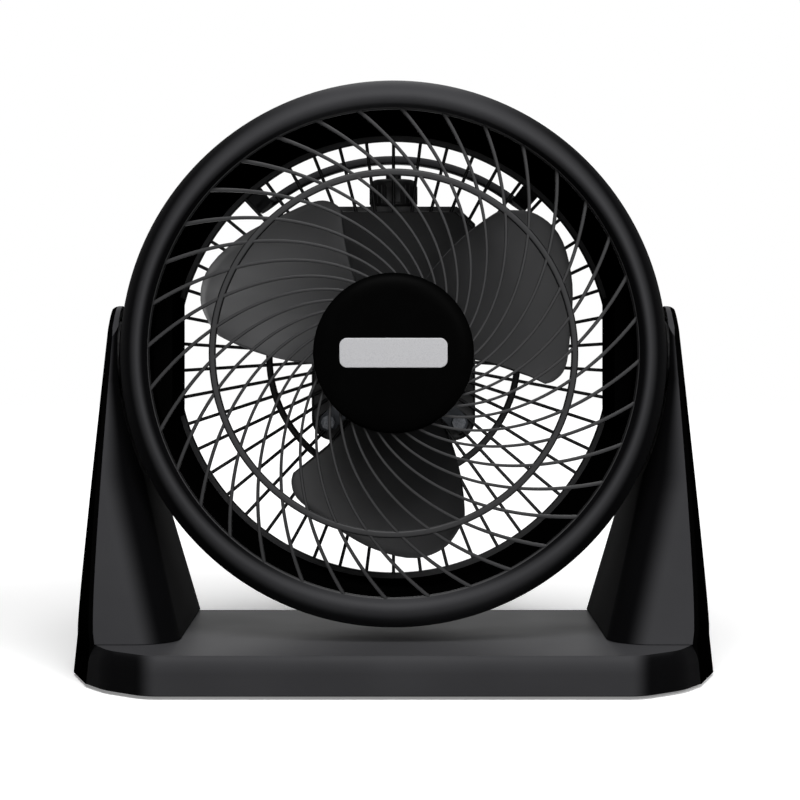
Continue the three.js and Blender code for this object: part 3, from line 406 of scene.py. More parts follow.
def bevelled(piece: Object, width: float, segments: int = 2,
             angle: float = 32.0) -> Object:
    """Rounds a piece's sharp edges.

    Args:
        piece: the piece, in millimetres.
        width: the rounding's width.
        segments: its steps.
        angle: degrees from which an edge is rounded.

    Returns:
        The same piece.
    """
    rounding = piece.modifiers.new("rounding", "BEVEL")
    rounding.width = width
    rounding.segments = segments
    rounding.limit_method = "ANGLE"
    rounding.angle_limit = math.radians(angle)
    rounding.use_clamp_overlap = True
    rounding.harden_normals = True
    return settled(piece)


def combined(piece: Object, tool: Object, how: str = "DIFFERENCE",
             sharp: float = 32.0) -> Object:
    """Cuts, meets or joins a piece with a tool, which is then thrown away.

    Args:
        piece: the piece to change, in millimetres.
        tool: the other object.
        how: DIFFERENCE, INTERSECT or UNION.
        sharp: degrees from which an edge stays sharp afterwards.

    Returns:
        The same piece.
    """
    change = piece.modifiers.new("change", "BOOLEAN")
    change.operation = how
    change.solver = "EXACT"
    change.object = tool
    settled(piece)
    bpy.data.objects.remove(tool)
    smoothed(piece.data, sharp)
    return piece


def copied(piece: Object, name: str) -> Object:
    """Copies an object and its mesh.

    Args:
        piece: the object.
        name: the copy's name.

    Returns:
        The copy, linked to the scene.
    """
    twin = bpy.data.objects.new(name, piece.data.copy())
    bpy.context.scene.collection.objects.link(twin)
    return twin


def merged(piece: Object, *others: Object) -> Object:
    """Puts the meshes of other objects into a piece, and removes those objects.

    Args:
        piece: the piece that stays.
        others: the objects that it takes in.

    Returns:
        The same piece.
    """
    work = bmesh.new()
    for part in (piece, *others):
        work.from_mesh(part.data)
    work.to_mesh(piece.data)
    work.free()
    for other in others:
        bpy.data.objects.remove(other)
    return piece


def even_normals(piece: Object) -> Object:
    """Lets large flat faces set the shading beside small ones.

    Args:
        piece: the piece, in millimetres.

    Returns:
        The same piece.
    """
    evening = piece.modifiers.new("evening", "WEIGHTED_NORMAL")
    evening.keep_sharp = True
    return settled(piece)


@dataclass
class Workshop:
    """Puts finished pieces in place, and keeps the finishes and the geometry trees."""

    finishes: dict[Finish, Material]
    rules: "Rules"
    made: int = 0

    def fit(self, piece: Object, place: Matrix, body: Body, slot: Slot,
            *nodes: str, finish: Finish | None = None) -> Object:
        """Puts a piece in place, dresses it and hides the CAD nodes that it stands for.

        Args:
            piece: the piece, in millimetres in its own frame.
            place: that frame, to metres.
            body: what it rides on.
            slot: its material slot in the record.
            nodes: the CAD nodes that it replaces.
            finish: its finish, where that isn't its slot's.

        Returns:
            The same piece.
        """
        piece.data.transform(place)
        piece.data.materials.clear()
        piece.data.materials.append(self.finishes[finish or SLOT_FINISH[slot]])
        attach(piece, body.value)
        if nodes:
            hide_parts(*nodes)
        self.made += 1
        log.info("%s: %d faces, %s", piece.name, len(piece.data.polygons), slot.value)
        return piece

    def dress_nodes(self) -> None:
        """Gives every carried-over CAD node the finish of its slot."""
        for part in frame["record"]["subparts"]:
            node = frame["nodes"][part["node"]]
            node.data.materials.clear()
            slot = Slot(part["material_slot"])
            node.data.materials.append(self.finishes[SLOT_FINISH[slot]])
        log.info("dressed %d CAD nodes", len(frame["nodes"]))


# ---- Node trees

MATH, RANGE, MIX = "ShaderNodeMath", "ShaderNodeMapRange", "ShaderNodeMix"
BUMP, NOISE = "ShaderNodeBump", "ShaderNodeTexNoise"
COLOURS = {"data_type": "RGBA"}      # of a Mix node that mixes colours


def linear(code: str) -> Colour:
    """Turns an sRGB hex value into a linear colour with full alpha.

    Args:
        code: six hex digits after a #.

    Returns:
        Red, green, blue and alpha, each from 0 to 1.
    """
    channels = [int(code[i:i + 2], 16) / 255 for i in (1, 3, 5)]
    values = [c / 12.92 if c <= 0.04045 else ((c + 0.055) / 1.055) ** 2.4 for c in channels]
    return (values[0], values[1], values[2], 1.0)


def plug(node: Node, inputs: dict) -> Node:
    """Gives a node's sockets their values and their links.

    Args:
        node: the node.
        inputs: a value or a socket to link for each socket, by name or number.

    Returns:
        The same node.
    """
    for key, source in inputs.items():
        if isinstance(source, NodeSocket):
            node.id_data.links.new(source, node.inputs[key])
        else:
            node.inputs[key].default_value = source
    return node


def add_node(tree: NodeTree, kind: str, settings: dict | None = None,
             inputs: dict | None = None) -> Node:
    """Adds a node with its settings, its values and its links.

    Args:
        tree: the tree that it goes into.
        kind: the node's type.
        settings: properties of the node, by name.
        inputs: as plug takes them.

    Returns:
        The new node.
    """
    node = tree.nodes.new(kind)
    for name, value in (settings or {}).items():
        setattr(node, name, value)
    return plug(node, inputs or {})


class Rule:
    """A geometry tree with named inputs that makes a piece from a size or an item.

    A kind of rule names its inputs in sizes, and adds its own nodes in build.
    """

    label = "rule"
    sizes: dict[str, str] = {}

    def __init__(self) -> None:
        """Builds the tree from its inputs to a realised geometry with its material."""
        self.tree = bpy.data.node_groups.new(self.label, "GeometryNodeTree")
        face = self.tree.interface
        face.new_socket(name="Geometry", in_out="INPUT", socket_type="NodeSocketGeometry")
        self.identifiers = {
            name: face.new_socket(name=name, in_out="INPUT", socket_type=kind).identifier
            for name, kind in {**self.sizes, "Material": "NodeSocketMaterial"}.items()}
        face.new_socket(name="Geometry", in_out="OUTPUT", socket_type="NodeSocketGeometry")
        self.given = add_node(self.tree, "NodeGroupInput").outputs
        whole = add_node(self.tree, "GeometryNodeRealizeInstances",
                         inputs={"Geometry": self.build()})
        dressed = add_node(self.tree, "GeometryNodeSetMaterial", inputs={
            "Geometry": whole.outputs[0], "Material": self.given["Material"]})
        add_node(self.tree, "NodeGroupOutput", inputs={"Geometry": dressed.outputs[0]})

    def build(self) -> NodeSocket:
        """Adds the rule's own nodes.

        Returns:
            The socket that gives the instances.
        """
        return self.given["Geometry"]

    def round_shaft(self, item: NodeSocket, first: NodeSocket,
                    step: NodeSocket) -> NodeSocket:
        """Repeats an item about the shaft, counter-clockwise seen from the front.

        Args:
            item: the geometry to repeat.
            first: degrees of the first copy.
            step: degrees from each copy to the next.

        Returns:
            The socket that gives the instances.
        """
        spots = add_node(self.tree, "GeometryNodePoints", inputs={"Count": self.given["Count"]})
        number = add_node(self.tree, "GeometryNodeInputIndex")
        turn = add_node(self.tree, MATH, {"operation": "MULTIPLY_ADD"}, {
            0: number.outputs[0], 1: step, 2: first})
        back = add_node(self.tree, MATH, {"operation": "MULTIPLY"}, {
            0: turn.outputs[0], 1: -math.pi / 180})
        about = add_node(self.tree, "ShaderNodeCombineXYZ", inputs={"Y": back.outputs[0]})
        copies = add_node(self.tree, "GeometryNodeInstanceOnPoints", inputs={
            "Points": spots.outputs[0], "Instance": item, "Rotation": about.outputs[0]})
        return copies.outputs[0]

    def run(self, piece: Object, **values: object) -> Object:
        """Applies the rule to a piece, and leaves a plain mesh.

        Args:
            piece: the piece whose mesh the rule reads.
            values: the inputs by name, with _ for a space.

        Returns:
            The same piece.
        """
        modifier = piece.modifiers.new(self.label, "NODES")
        modifier.node_group = self.tree
        for name, value in values.items():
            modifier[self.identifiers[name.replace("_", " ")]] = value
        return settled(piece)


class TurnedCopies(Rule):
    """Repeats the piece's own mesh about the shaft: ribs, blades, screws and bosses."""

    label = "turned_copies"
    sizes = {"Count": "NodeSocketInt", "First": "NodeSocketFloat", "Step": "NodeSocketFloat"}

    def build(self) -> NodeSocket:
        """Adds the turn of each copy."""
        return self.round_shaft(self.given["Geometry"], self.given["First"], self.given["Step"])


class GridCopies(Rule):
    """Repeats the piece's own mesh in rows and columns in the plane of X and Z or X and Y."""

    label = "grid_copies"
    sizes = {"Columns": "NodeSocketInt", "Rows": "NodeSocketInt", "Width": "NodeSocketFloat",
             "Height": "NodeSocketFloat", "Lean": "NodeSocketVector"}

    def build(self) -> NodeSocket:
        """Adds the grid, leans it, and puts a copy at each of its corners.

        Returns:
            The socket that gives the instances.
        """
        given = self.given
        grid = add_node(self.tree, "GeometryNodeMeshGrid", inputs={
            "Size X": given["Width"], "Size Y": given["Height"],
            "Vertices X": given["Columns"], "Vertices Y": given["Rows"]})
        leaning = add_node(self.tree, "GeometryNodeTransform", inputs={
            "Geometry": grid.outputs[0], "Rotation": given["Lean"]})
        copies = add_node(self.tree, "GeometryNodeInstanceOnPoints", inputs={
            "Points": leaning.outputs[0], "Instance": given["Geometry"]})
        return copies.outputs[0]


class SpiralWires(Rule):
    """Makes wires that follow a log spiral on a shallow dome, and taper towards the middle."""

    label = "spiral_wires"
    sizes = {"Count": "NodeSocketInt"} | dict.fromkeys(
        ("Phase", "Sweep", "Datum Radius", "Inner Radius", "Outer Radius", "Inner Width",
         "Outer Width", "Depth", "Corner", "Front", "Dome"), "NodeSocketFloat")

    steps = 44               # along a wire
    corner_steps = 2         # in each of its rounded edges

    def build(self) -> NodeSocket:
        """Adds the spiral, its dome and taper, and the ring of wires.

        Returns:
            The socket that gives the instances.
        """
        tree, given = self.tree, self.given
        straight = add_node(tree, "GeometryNodeCurvePrimitiveLine", inputs={"End": (1, 0, 0)})
        line = add_node(tree, "GeometryNodeResampleCurve", inputs={
            "Curve": straight.outputs[0], "Count": self.steps})
        along = add_node(tree, "GeometryNodeSplineParameter").outputs["Factor"]
        growth = add_node(tree, MATH, {"operation": "DIVIDE"}, {
            0: given["Outer Radius"], 1: given["Inner Radius"]})
        grown = add_node(tree, MATH, {"operation": "POWER"}, {0: growth.outputs[0], 1: along})
        radius = add_node(tree, MATH, {"operation": "MULTIPLY"}, {
            0: grown.outputs[0], 1: given["Inner Radius"]}).outputs[0]
        against = add_node(tree, MATH, {"operation": "DIVIDE"}, {
            0: radius, 1: given["Datum Radius"]})
        folds = add_node(tree, MATH, {"operation": "LOGARITHM"}, {0: against.outputs[0], 1: math.e})
        angle = add_node(tree, MATH, {"operation": "MULTIPLY"}, {
            0: folds.outputs[0], 1: given["Sweep"]}).outputs[0]
        cosine = add_node(tree, MATH, {"operation": "COSINE"}, {0: angle})
        sine = add_node(tree, MATH, {"operation": "SINE"}, {0: angle})
        x = add_node(tree, MATH, {"operation": "MULTIPLY"}, {0: radius, 1: cosine.outputs[0]})
        z = add_node(tree, MATH, {"operation": "MULTIPLY"}, {0: radius, 1: sine.outputs[0]})
        share = add_node(tree, RANGE, inputs={
            0: radius, 1: given["Inner Radius"], 2: given["Outer Radius"],
            3: given["Inner Width"], 4: given["Outer Width"]})
        size = add_node(tree, MATH, {"operation": "DIVIDE"}, {
            0: share.outputs[0], 1: given["Outer Width"]}).outputs[0]
        outward = add_node(tree, MATH, {"operation": "DIVIDE"}, {
            0: radius, 1: given["Outer Radius"]})
        square = add_node(tree, MATH, {"operation": "POWER"}, {0: outward.outputs[0], 1: 2.0})
        bulge = add_node(tree, MATH, {"operation": "MULTIPLY_ADD"}, {
            0: square.outputs[0], 1: given["Dome"], 2: given["Front"]})
        crest = add_node(tree, MATH, {"operation": "SUBTRACT"}, {
            0: bulge.outputs[0], 1: given["Dome"]})
        half = add_node(tree, MATH, {"operation": "MULTIPLY"}, {0: given["Depth"], 1: 0.5})
        y = add_node(tree, MATH, {"operation": "MULTIPLY_ADD"}, {
            0: size, 1: half.outputs[0], 2: crest.outputs[0]})
        spot = add_node(tree, "ShaderNodeCombineXYZ", inputs={
            "X": x.outputs[0], "Y": y.outputs[0], "Z": z.outputs[0]})
        bent = add_node(tree, "GeometryNodeSetPosition", inputs={
            "Geometry": line.outputs[0], "Position": spot.outputs[0]})
        facing = add_node(tree, "GeometryNodeSetCurveNormal", {"mode": "FREE"}, {
            "Curve": bent.outputs[0], "Normal": (0, -1, 0)})
        outline = add_node(tree, "GeometryNodeCurvePrimitiveQuadrilateral", inputs={
            "Width": given["Depth"], "Height": given["Outer Width"]})
        section = add_node(tree, "GeometryNodeFilletCurve", {"mode": "POLY"}, {
            "Curve": outline.outputs[0], "Count": self.corner_steps,
            "Radius": given["Corner"]})
        wire = add_node(tree, "GeometryNodeCurveToMesh", inputs={
            "Curve": facing.outputs[0], "Profile Curve": section.outputs[0],
            "Scale": size, "Fill Caps": True})
        pitch = add_node(tree, MATH, {"operation": "DIVIDE"}, {0: 360.0, 1: given["Count"]})
        return self.round_shaft(wire.outputs[0], given["Phase"], pitch.outputs[0])


@dataclass
class Rules:
    """The geometry trees that the sub-assemblies share."""

    turned: TurnedCopies = field(default_factory=TurnedCopies)
    grid: GridCopies = field(default_factory=GridCopies)
    spiral: SpiralWires = field(default_factory=SpiralWires)


# ---- Finishes

def blank(label: str) -> tuple[Material, NodeTree, Node, NodeSocket]:
    """Starts a material with one shader on Object coordinates.

    Args:
        label: the material's name.

    Returns:
        The material, its tree, its shader and the socket of its Object coordinates.
    """
    material = bpy.data.materials.new(label)
    material.use_nodes = True
    tree = material.node_tree
    where = add_node(tree, "ShaderNodeTexCoord").outputs["Object"]
    return material, tree, tree.nodes["Principled BSDF"], where


@dataclass(frozen=True)
class GrainedPlastic:
    """ABS or polypropylene out of a spark-eroded mould: an even satin with a fine pebble grain.

    The grain breaks the highlights up, so that a face fades softly towards its edges, and a
    slow change of tone keeps wide faces from looking printed. Walls that face sideways are
    painted darker, a painted shade that stands in for the light they miss, and are made dead
    matt, so that they mirror nothing and look blacker than the fronts. On the arms only the
    walls that face each other get the painted shade.
    """

    deep: str
    pale: str
    roughness: float
    specular: float
    side: str = "#060607"        # painted shade: the colour of walls that face fully sideways
    turn: Pair = (0.05, 0.62)    # how far sideways a face points, where its painted shade starts and where it is full
    side_roughness: float = 0.95
    inner_only: bool = False     # paints the shade only on walls that face the middle, and leaves the others as the front
    grain_mm: float = 0.65       # the real grain is about half that, too fine for the render
    grain_blur: float = 0.6
    relief_mm: float = 0.02
    relief_strength: float = 0.6
    cloud_mm: float = 45.0
    cloud_tones: Pair = (0.3, 0.7)      # of the noise, where the tone is deep and where pale
    cloud_gloss: Pair = (0.25, 0.75)    # of the noise, over which the roughness changes
    gloss_spread: float = 0.04

    def make(self, label: str) -> Material:
        """Builds the material.

        Args:
            label: its name.

        Returns:
            The new material.
        """
        material, tree, shader, where = blank(label)
        grain = add_node(tree, "ShaderNodeTexVoronoi", {"feature": "SMOOTH_F1"}, {
            "Vector": where, "Scale": 1000 / self.grain_mm, "Smoothness": self.grain_blur})
        cloud = add_node(tree, NOISE, inputs={
            "Vector": where, "Scale": 1000 / self.cloud_mm, "Detail": 3.0})
        tone = add_node(tree, RANGE, inputs={
            0: cloud.outputs[0], 1: self.cloud_tones[0], 2: self.cloud_tones[1]})
        colour = add_node(tree, MIX, COLOURS, {
            0: tone.outputs[0], 6: linear(self.deep), 7: linear(self.pale)})
        facing = add_node(tree, "ShaderNodeTexCoord").outputs["Normal"]
        parts = add_node(tree, "ShaderNodeSeparateXYZ", inputs={0: facing})
        aside = add_node(tree, MATH, {"operation": "ABSOLUTE"}, {0: parts.outputs[0]})
        turn = add_node(tree, RANGE, {"interpolation_type": "SMOOTHSTEP"}, {
            0: aside.outputs[0], 1: self.turn[0], 2: self.turn[1]})
        if self.inner_only:
            across = add_node(tree, "ShaderNodeSeparateXYZ", inputs={0: where})
            away = add_node(tree, MATH, {"operation": "MULTIPLY"}, {
                0: across.outputs[0], 1: parts.outputs[0]})
            inside = add_node(tree, MATH, {"operation": "LESS_THAN"}, {0: away.outputs[0], 1: 0.0})
            turn = add_node(tree, MATH, {"operation": "MULTIPLY"}, {
                0: turn.outputs[0], 1: inside.outputs[0]})
        # Painted shade: walls that face sideways take the side colour instead of the plastic's own.
        mould = add_node(tree, MIX, COLOURS, {
            0: turn.outputs[0], 6: colour.outputs[2], 7: linear(self.side)})
        satin = add_node(tree, RANGE, inputs={
            0: cloud.outputs[0], 1: self.cloud_gloss[0], 2: self.cloud_gloss[1],
            3: self.roughness - self.gloss_spread, 4: self.roughness + self.gloss_spread})
        gloss = add_node(tree, RANGE, inputs={
            0: turn.outputs[0], 3: satin.outputs[0], 4: self.side_roughness})
        pebbles = add_node(tree, BUMP, inputs={
            "Strength": self.relief_strength, "Distance": self.relief_mm / 1000,
            "Height": grain.outputs[0]})
        plug(shader, {"Base Color": mould.outputs[2], "Roughness": gloss.outputs[0],
                      "Normal": pebbles.outputs[0], "Specular IOR Level": self.specular})
        return material


@dataclass(frozen=True)
class PolishedPlastic:
    """ABS out of a polished mould: deep black, with a slow waviness in what it mirrors."""

    colour: str
    haze: str
    roughness: float
    specular: float
    gloss_spread: float = 0.03
    wave_mm: float = 9.0
    relief_mm: float = 0.012
    relief_strength: float = 0.5

    def make(self, label: str) -> Material:
        """Builds the material.

        Args:
            label: its name.

        Returns:
            The new material.
        """
        material, tree, shader, where = blank(label)
        waves = add_node(tree, NOISE, inputs={
            "Vector": where, "Scale": 1000 / self.wave_mm, "Detail": 2.0})
        ripple = add_node(tree, BUMP, inputs={
            "Strength": self.relief_strength, "Distance": self.relief_mm / 1000,
            "Height": waves.outputs[0]})
        colour = add_node(tree, MIX, COLOURS, {
            0: waves.outputs[0], 6: linear(self.colour), 7: linear(self.haze)})
        gloss = add_node(tree, RANGE, inputs={
            0: waves.outputs[0], 3: self.roughness - self.gloss_spread,
            4: self.roughness + self.gloss_spread})
        plug(shader, {"Base Color": colour.outputs[2], "Roughness": gloss.outputs[0],
                      "Normal": ripple.outputs[0], "Specular IOR Level": self.specular})
        return material


@dataclass(frozen=True)
class SilverPaint:
    """Silver lacquer on a moulded plate: tiny flakes that glint singly in a soft even sheen."""

    colour: str
    shade: str
    roughness: float
    metallic: float
    gloss_spread: float = 0.06
    flake_mm: float = 0.4        # real flakes are a tenth of that, too fine for the render

    def make(self, label: str) -> Material:
        """Builds the material.

        Args:
            label: its name.

        Returns:
            The new material.
        """
        material, tree, shader, where = blank(label)
        flakes = add_node(tree, "ShaderNodeTexVoronoi", inputs={
            "Vector": where, "Scale": 1000 / self.flake_mm}).outputs["Distance"]
        colour = add_node(tree, MIX, COLOURS, {
            0: flakes, 6: linear(self.colour), 7: linear(self.shade)})
        gloss = add_node(tree, RANGE, inputs={
            0: flakes, 3: self.roughness - self.gloss_spread,
            4: self.roughness + self.gloss_spread})
        plug(shader, {"Base Color": colour.outputs[2], "Roughness": gloss.outputs[0],
                      "Metallic": self.metallic})
        return material


@dataclass(frozen=True)
class MouldedRubber:
    """Black nitrile rubber, dull, with a chalky bloom in patches."""

    colour: str
    bloom: str
    roughness: float
    specular: float = 0.25
    bloom_mm: float = 2.5
    relief_mm: float = 0.03
    relief_strength: float = 0.4

    def make(self, label: str) -> Material:
        """Builds the material.

        Args:
            label: its name.

        Returns:
            The new material.
        """
        material, tree, shader, where = blank(label)
        patches = add_node(tree, NOISE, inputs={
            "Vector": where, "Scale": 1000 / self.bloom_mm, "Detail": 5.0})
        colour = add_node(tree, MIX, COLOURS, {
            0: patches.outputs[0], 6: linear(self.colour), 7: linear(self.bloom)})
        skin = add_node(tree, BUMP, inputs={
            "Strength": self.relief_strength, "Distance": self.relief_mm / 1000,
            "Height": patches.outputs[0]})
        plug(shader, {"Base Color": colour.outputs[2], "Roughness": self.roughness,
                      "Normal": skin.outputs[0], "Specular IOR Level": self.specular})
        return material


@dataclass(frozen=True)
class FilledNylon:
    """Nylon filled with short glass: a near black that clouds softly where the fibres float up."""

    colour: str
    cloud: str
    roughness: float
    cloud_mm: float = 4.0

    def make(self, label: str) -> Material:
        """Builds the material.

        Args:
            label: its name.

        Returns:
            The new material.
        """
        material, tree, shader, where = blank(label)
        clouds = add_node(tree, NOISE, inputs={
            "Vector": where, "Scale": 1000 / self.cloud_mm, "Detail": 2.0})
        colour = add_node(tree, MIX, COLOURS, {
            0: clouds.outputs[0], 6: linear(self.colour), 7: linear(self.cloud)})
        plug(shader, {"Base Color": colour.outputs[2], "Roughness": self.roughness})
        return material


@dataclass(frozen=True)
class WorkedMetal:
    """Plated, pressed or sintered metal: its tone and its gloss change together in small specks.

    The stretch draws the specks out across the shaft into drawing or lamination lines.
    """

    colour: str
    shade: str
    roughness: float
    speck_mm: float
    stretch: float = 1.0
    relief_mm: float = 0.01
    relief_strength: float = 0.5
    tones: Pair = (0.35, 0.65)           # of the noise, where the tone is full and where shaded
    gloss_spread: Pair = (-0.05, 0.1)

    def make(self, label: str) -> Material:
        """Builds the material.

        Args:
            label: its name.

        Returns:
            The new material.
        """
        material, tree, shader, where = blank(label)
        along = 1000 / self.speck_mm
        sized = add_node(tree, "ShaderNodeMapping", inputs={
            "Vector": where, "Scale": (along / self.stretch, along, along / self.stretch)})
        specks = add_node(tree, NOISE, inputs={
            "Vector": sized.outputs[0], "Scale": 1.0, "Detail": 4.0})
        spread = add_node(tree, RANGE, inputs={
            0: specks.outputs[0], 1: self.tones[0], 2: self.tones[1]})
        colour = add_node(tree, MIX, COLOURS, {
            0: spread.outputs[0], 6: linear(self.colour), 7: linear(self.shade)})
        gloss = add_node(tree, RANGE, inputs={
            0: spread.outputs[0], 3: self.roughness + self.gloss_spread[0],
            4: self.roughness + self.gloss_spread[1]})
        lines = add_node(tree, BUMP, inputs={
            "Strength": self.relief_strength, "Distance": self.relief_mm / 1000,
            "Height": specks.outputs[0]})
        plug(shader, {"Base Color": colour.outputs[2], "Roughness": gloss.outputs[0],
                      "Normal": lines.outputs[0], "Metallic": 1.0})
        return material


@dataclass(frozen=True)
class WoundWire:
    """Enamelled copper wire in a wound bundle: fine bright ridges, with painted shade in the gaps between them."""

    colour: str
    # painted shade: the colour between the turns
    gap: str
    wire_mm: float = 0.5
    roughness: float = 0.32
    unevenness: float = 1.5
    relief_strength: float = 0.8

    def make(self, label: str) -> Material:
        """Builds the material.

        Args:
            label: its name.

        Returns:
            The new material.
        """
        material, tree, shader, where = blank(label)
        turns = add_node(tree, "ShaderNodeTexWave",
                         {"wave_type": "RINGS", "rings_direction": "Y"},
                         {"Vector": where, "Scale": 1000 / (self.wire_mm * math.tau),
                          "Distortion": self.unevenness}).outputs["Fac"]
        colour = add_node(tree, MIX, COLOURS, {
            0: turns, 6: linear(self.gap), 7: linear(self.colour)})
        ridges = add_node(tree, BUMP, inputs={
            "Strength": self.relief_strength, "Distance": self.wire_mm / 4000, "Height": turns})
        plug(shader, {"Base Color": colour.outputs[2], "Roughness": self.roughness,
                      "Normal": ridges.outputs[0], "Metallic": 1.0})
        return material


FINISHES = {
    # The fifth colour of each grained plastic, or its default, is painted shade on walls that face sideways.
    Finish.SHELL: GrainedPlastic("#39393b", "#3f3f41", 0.46, 0.04),
    Finish.ARMS: GrainedPlastic("#39393b", "#3f3f41", 0.46, 0.04, inner_only=True),
    # A near-black for the duct and the arm covers: the satin black's own colour, deepened by painted shade.
    Finish.LINING_PAINTED_SHADE: GrainedPlastic("#030303", "#050505", 0.6, 0.0, "#030303"),
    Finish.WIRES: GrainedPlastic("#343435", "#3a3a3b", 0.4, 0.15),
    Finish.CAP: PolishedPlastic("#010101", "#030303", 0.42, 0.01),
    Finish.PLATE: SilverPaint("#c4c4c6", "#b0b0b3", 0.45, 0.2),
    Finish.VANES: GrainedPlastic("#434344", "#49494a", 0.42, 0.35, "#242425", grain_mm=0.8,
                                 relief_mm=0.01),
    Finish.RUBBER: MouldedRubber("#141414", "#232323", 0.85),
    Finish.NYLON: FilledNylon("#232325", "#1b1b1d", 0.5),
    Finish.STEEL: WorkedMetal("#6e7074", "#54565a", 0.42, 0.8),
    Finish.CORE: WorkedMetal("#4a4c50", "#37393c", 0.5, 0.5, 40.0, 0.05),
    Finish.COPPER: WoundWire("#b0602c", "#4a220e"),
    Finish.BRONZE: WorkedMetal("#a8804a", "#7d5c33", 0.5, 0.35),
}


# ---- Head

@dataclass
class Housing:
    """The head's round outer shell, with its rolled rim, and the black duct inside it.

    Depths are measured from the pivot's plane, positive to the rear.
    """

    radius: float = 117.0
    wall: float = 2.4
    rim_front: float = -37.6
    profile: tuple[Pair, ...] = (   # inside the radius, and behind the front of the rim
        (13.7, 3.6), (12.2, 1.0), (9.0, 0.0), (4.8, 2.5), (1.9, 9.6), (0.3, 21.6), (0.0, 32.6),
        (0.7, 47.6), (3.3, 63.6), (8.4, 80.3))
    profile_steps: int = 84
    pad_radius: float = 15.0
    pad_end: float = 117.1
    stub_radius: float = 5.5
    stub_end: float = 120.0
    fitting_depth: float = 6.0
    duct_front: float = -28.5
    duct_front_radius: float = 103.0
    duct_rear_radius: float = 100.4
    flange_front: float = 43.0
    flange_back: float = 45.4
    flange_radius: float = 108.6
    flat_x: float = 94.7
    flat_front: float = -14.0
    flat_half_height: float = 26.0
    flat_step: float = 0.25         # degrees over which a flat runs out into the round
    flat_steps: int = 8
    round_steps: int = 36

    def outer_face(self, share: float) -> Pair:
        """Reads the shell's outer face.

        Args:
            share: how far from the rim's inner edge to the rear, from 0 to 1.

        Returns:
            Radius and depth.
        """
        points = [(self.radius - inset, self.rim_front + back) for inset, back in self.profile]
        return through(points, share)

    def shell(self) -> Shape:
        """Turns the shell from its outer face and the same face drawn in by the wall.

        Returns:
            A closed shape.
        """
        outer = [self.outer_face(i / self.profile_steps) for i in range(self.profile_steps + 1)]
        inner = []
        for i, (radius, depth) in enumerate(outer):
            before, after = outer[max(i - 1, 0)], outer[min(i + 1, self.profile_steps)]
            along = Vector((after[0] - before[0], after[1] - before[1])).normalized()
            inner.append((radius - along.y * self.wall, depth + along.x * self.wall))
        inner[-1] = (inner[-1][0], outer[-1][1])
        return turned(outer + inner[::-1])

    def fitting(self, side: Side) -> Shape:
        """Turns the pad and the stub on which the head is hung at one side.

        Args:
            side: the side.

        Returns:
            A closed shape.
        """
        start = self.radius - self.wall - self.fitting_depth
        edge = 0.6
        outline = [(0, start), (self.pad_radius, start), (self.pad_radius, self.pad_end - edge),
                   (self.pad_radius - edge, self.pad_end), (self.stub_radius, self.pad_end),
                   (self.stub_radius, self.stub_end), (0, self.stub_end)]
        towards = Matrix.Rotation(-side.value * math.pi / 2, 4, "Z")
        return turned(outline, SMALL_ROUND).moved(towards)

    def duct_radius(self, depth: float) -> float:
        """Gives the duct's inner radius at a depth, which narrows evenly to the rear."""
        share = (depth - self.duct_front) / (self.flange_back - self.duct_front)
        return lerp(self.duct_front_radius, self.duct_rear_radius, share)

    def duct(self) -> Shape:
        """Skins the duct: a tapered tube with a flat boss inside it at each pivot.

        Returns:
            A closed shape.
        """
        wall, ledge, lip = self.wall, 0.4, 0.5
        corner = math.degrees(math.atan2(self.flat_half_height, self.flat_x))
        near = [corner * i / self.flat_steps for i in range(self.flat_steps + 1)]
        begin = corner + self.flat_step
        quarter = near + [lerp(begin, 90.0, i / self.round_steps)
                          for i in range(self.round_steps + 1)]
        half = quarter + [180 - a for a in reversed(quarter[:-1])]
        angles = half + [360 - a for a in reversed(half[1:-1])]

        def ring(radius: float, depth: float, flat: bool) -> list[Vector]:
            """Places a ring, drawn in to the flats where they lie."""
            points = []
            for degrees in angles:
                reach = radius
                folded = min(degrees % 180, 180 - degrees % 180)
                if flat and folded <= corner + 0.01:
                    reach = min(radius, self.flat_x / math.cos(math.radians(folded)))
                x, z = polar(reach, degrees)
                points.append(Vector((x, depth, z)))
            return points

        inner = [(self.duct_front + lip, False), (-20.0, False), (self.flat_front - ledge, False),
                 (self.flat_front, True), (0.0, True), (20.0, True), (self.flange_back - lip, True)]
        rings = [ring(self.duct_radius(depth), depth, flat) for depth, flat in inner]
        rings.append(ring(self.duct_rear_radius + lip, self.flange_back, True))
        rings += [ring(radius, depth, False) for radius, depth in (
            (self.flange_radius - lip, self.flange_back),
            (self.flange_radius, self.flange_back - lip), (self.flange_radius, self.flange_front),
            (self.duct_rear_radius + wall, self.flange_front),
            (self.duct_front_radius + wall, self.duct_front + lip),
            (self.duct_front_radius + wall - lip, self.duct_front),
            (self.duct_front_radius + lip, self.duct_front))]
        return lofted(rings, closed=True)

    def make(self, shop: Workshop) -> None:
        """Builds and fits the shell and the duct.

        Args:
            shop: the workshop.
        """
        shell = self.shell().joined(self.fitting(Side.LEFT), self.fitting(Side.RIGHT))
        shop.fit(piece_of(shell, "head_shell"), ON_HEAD, Body.HEAD, Slot.SHELL, "housing")
        duct = piece_of(self.duct(), "duct_lining", 24.0)
        shop.fit(duct, ON_HEAD, Body.HEAD, Slot.SATIN, "duct")


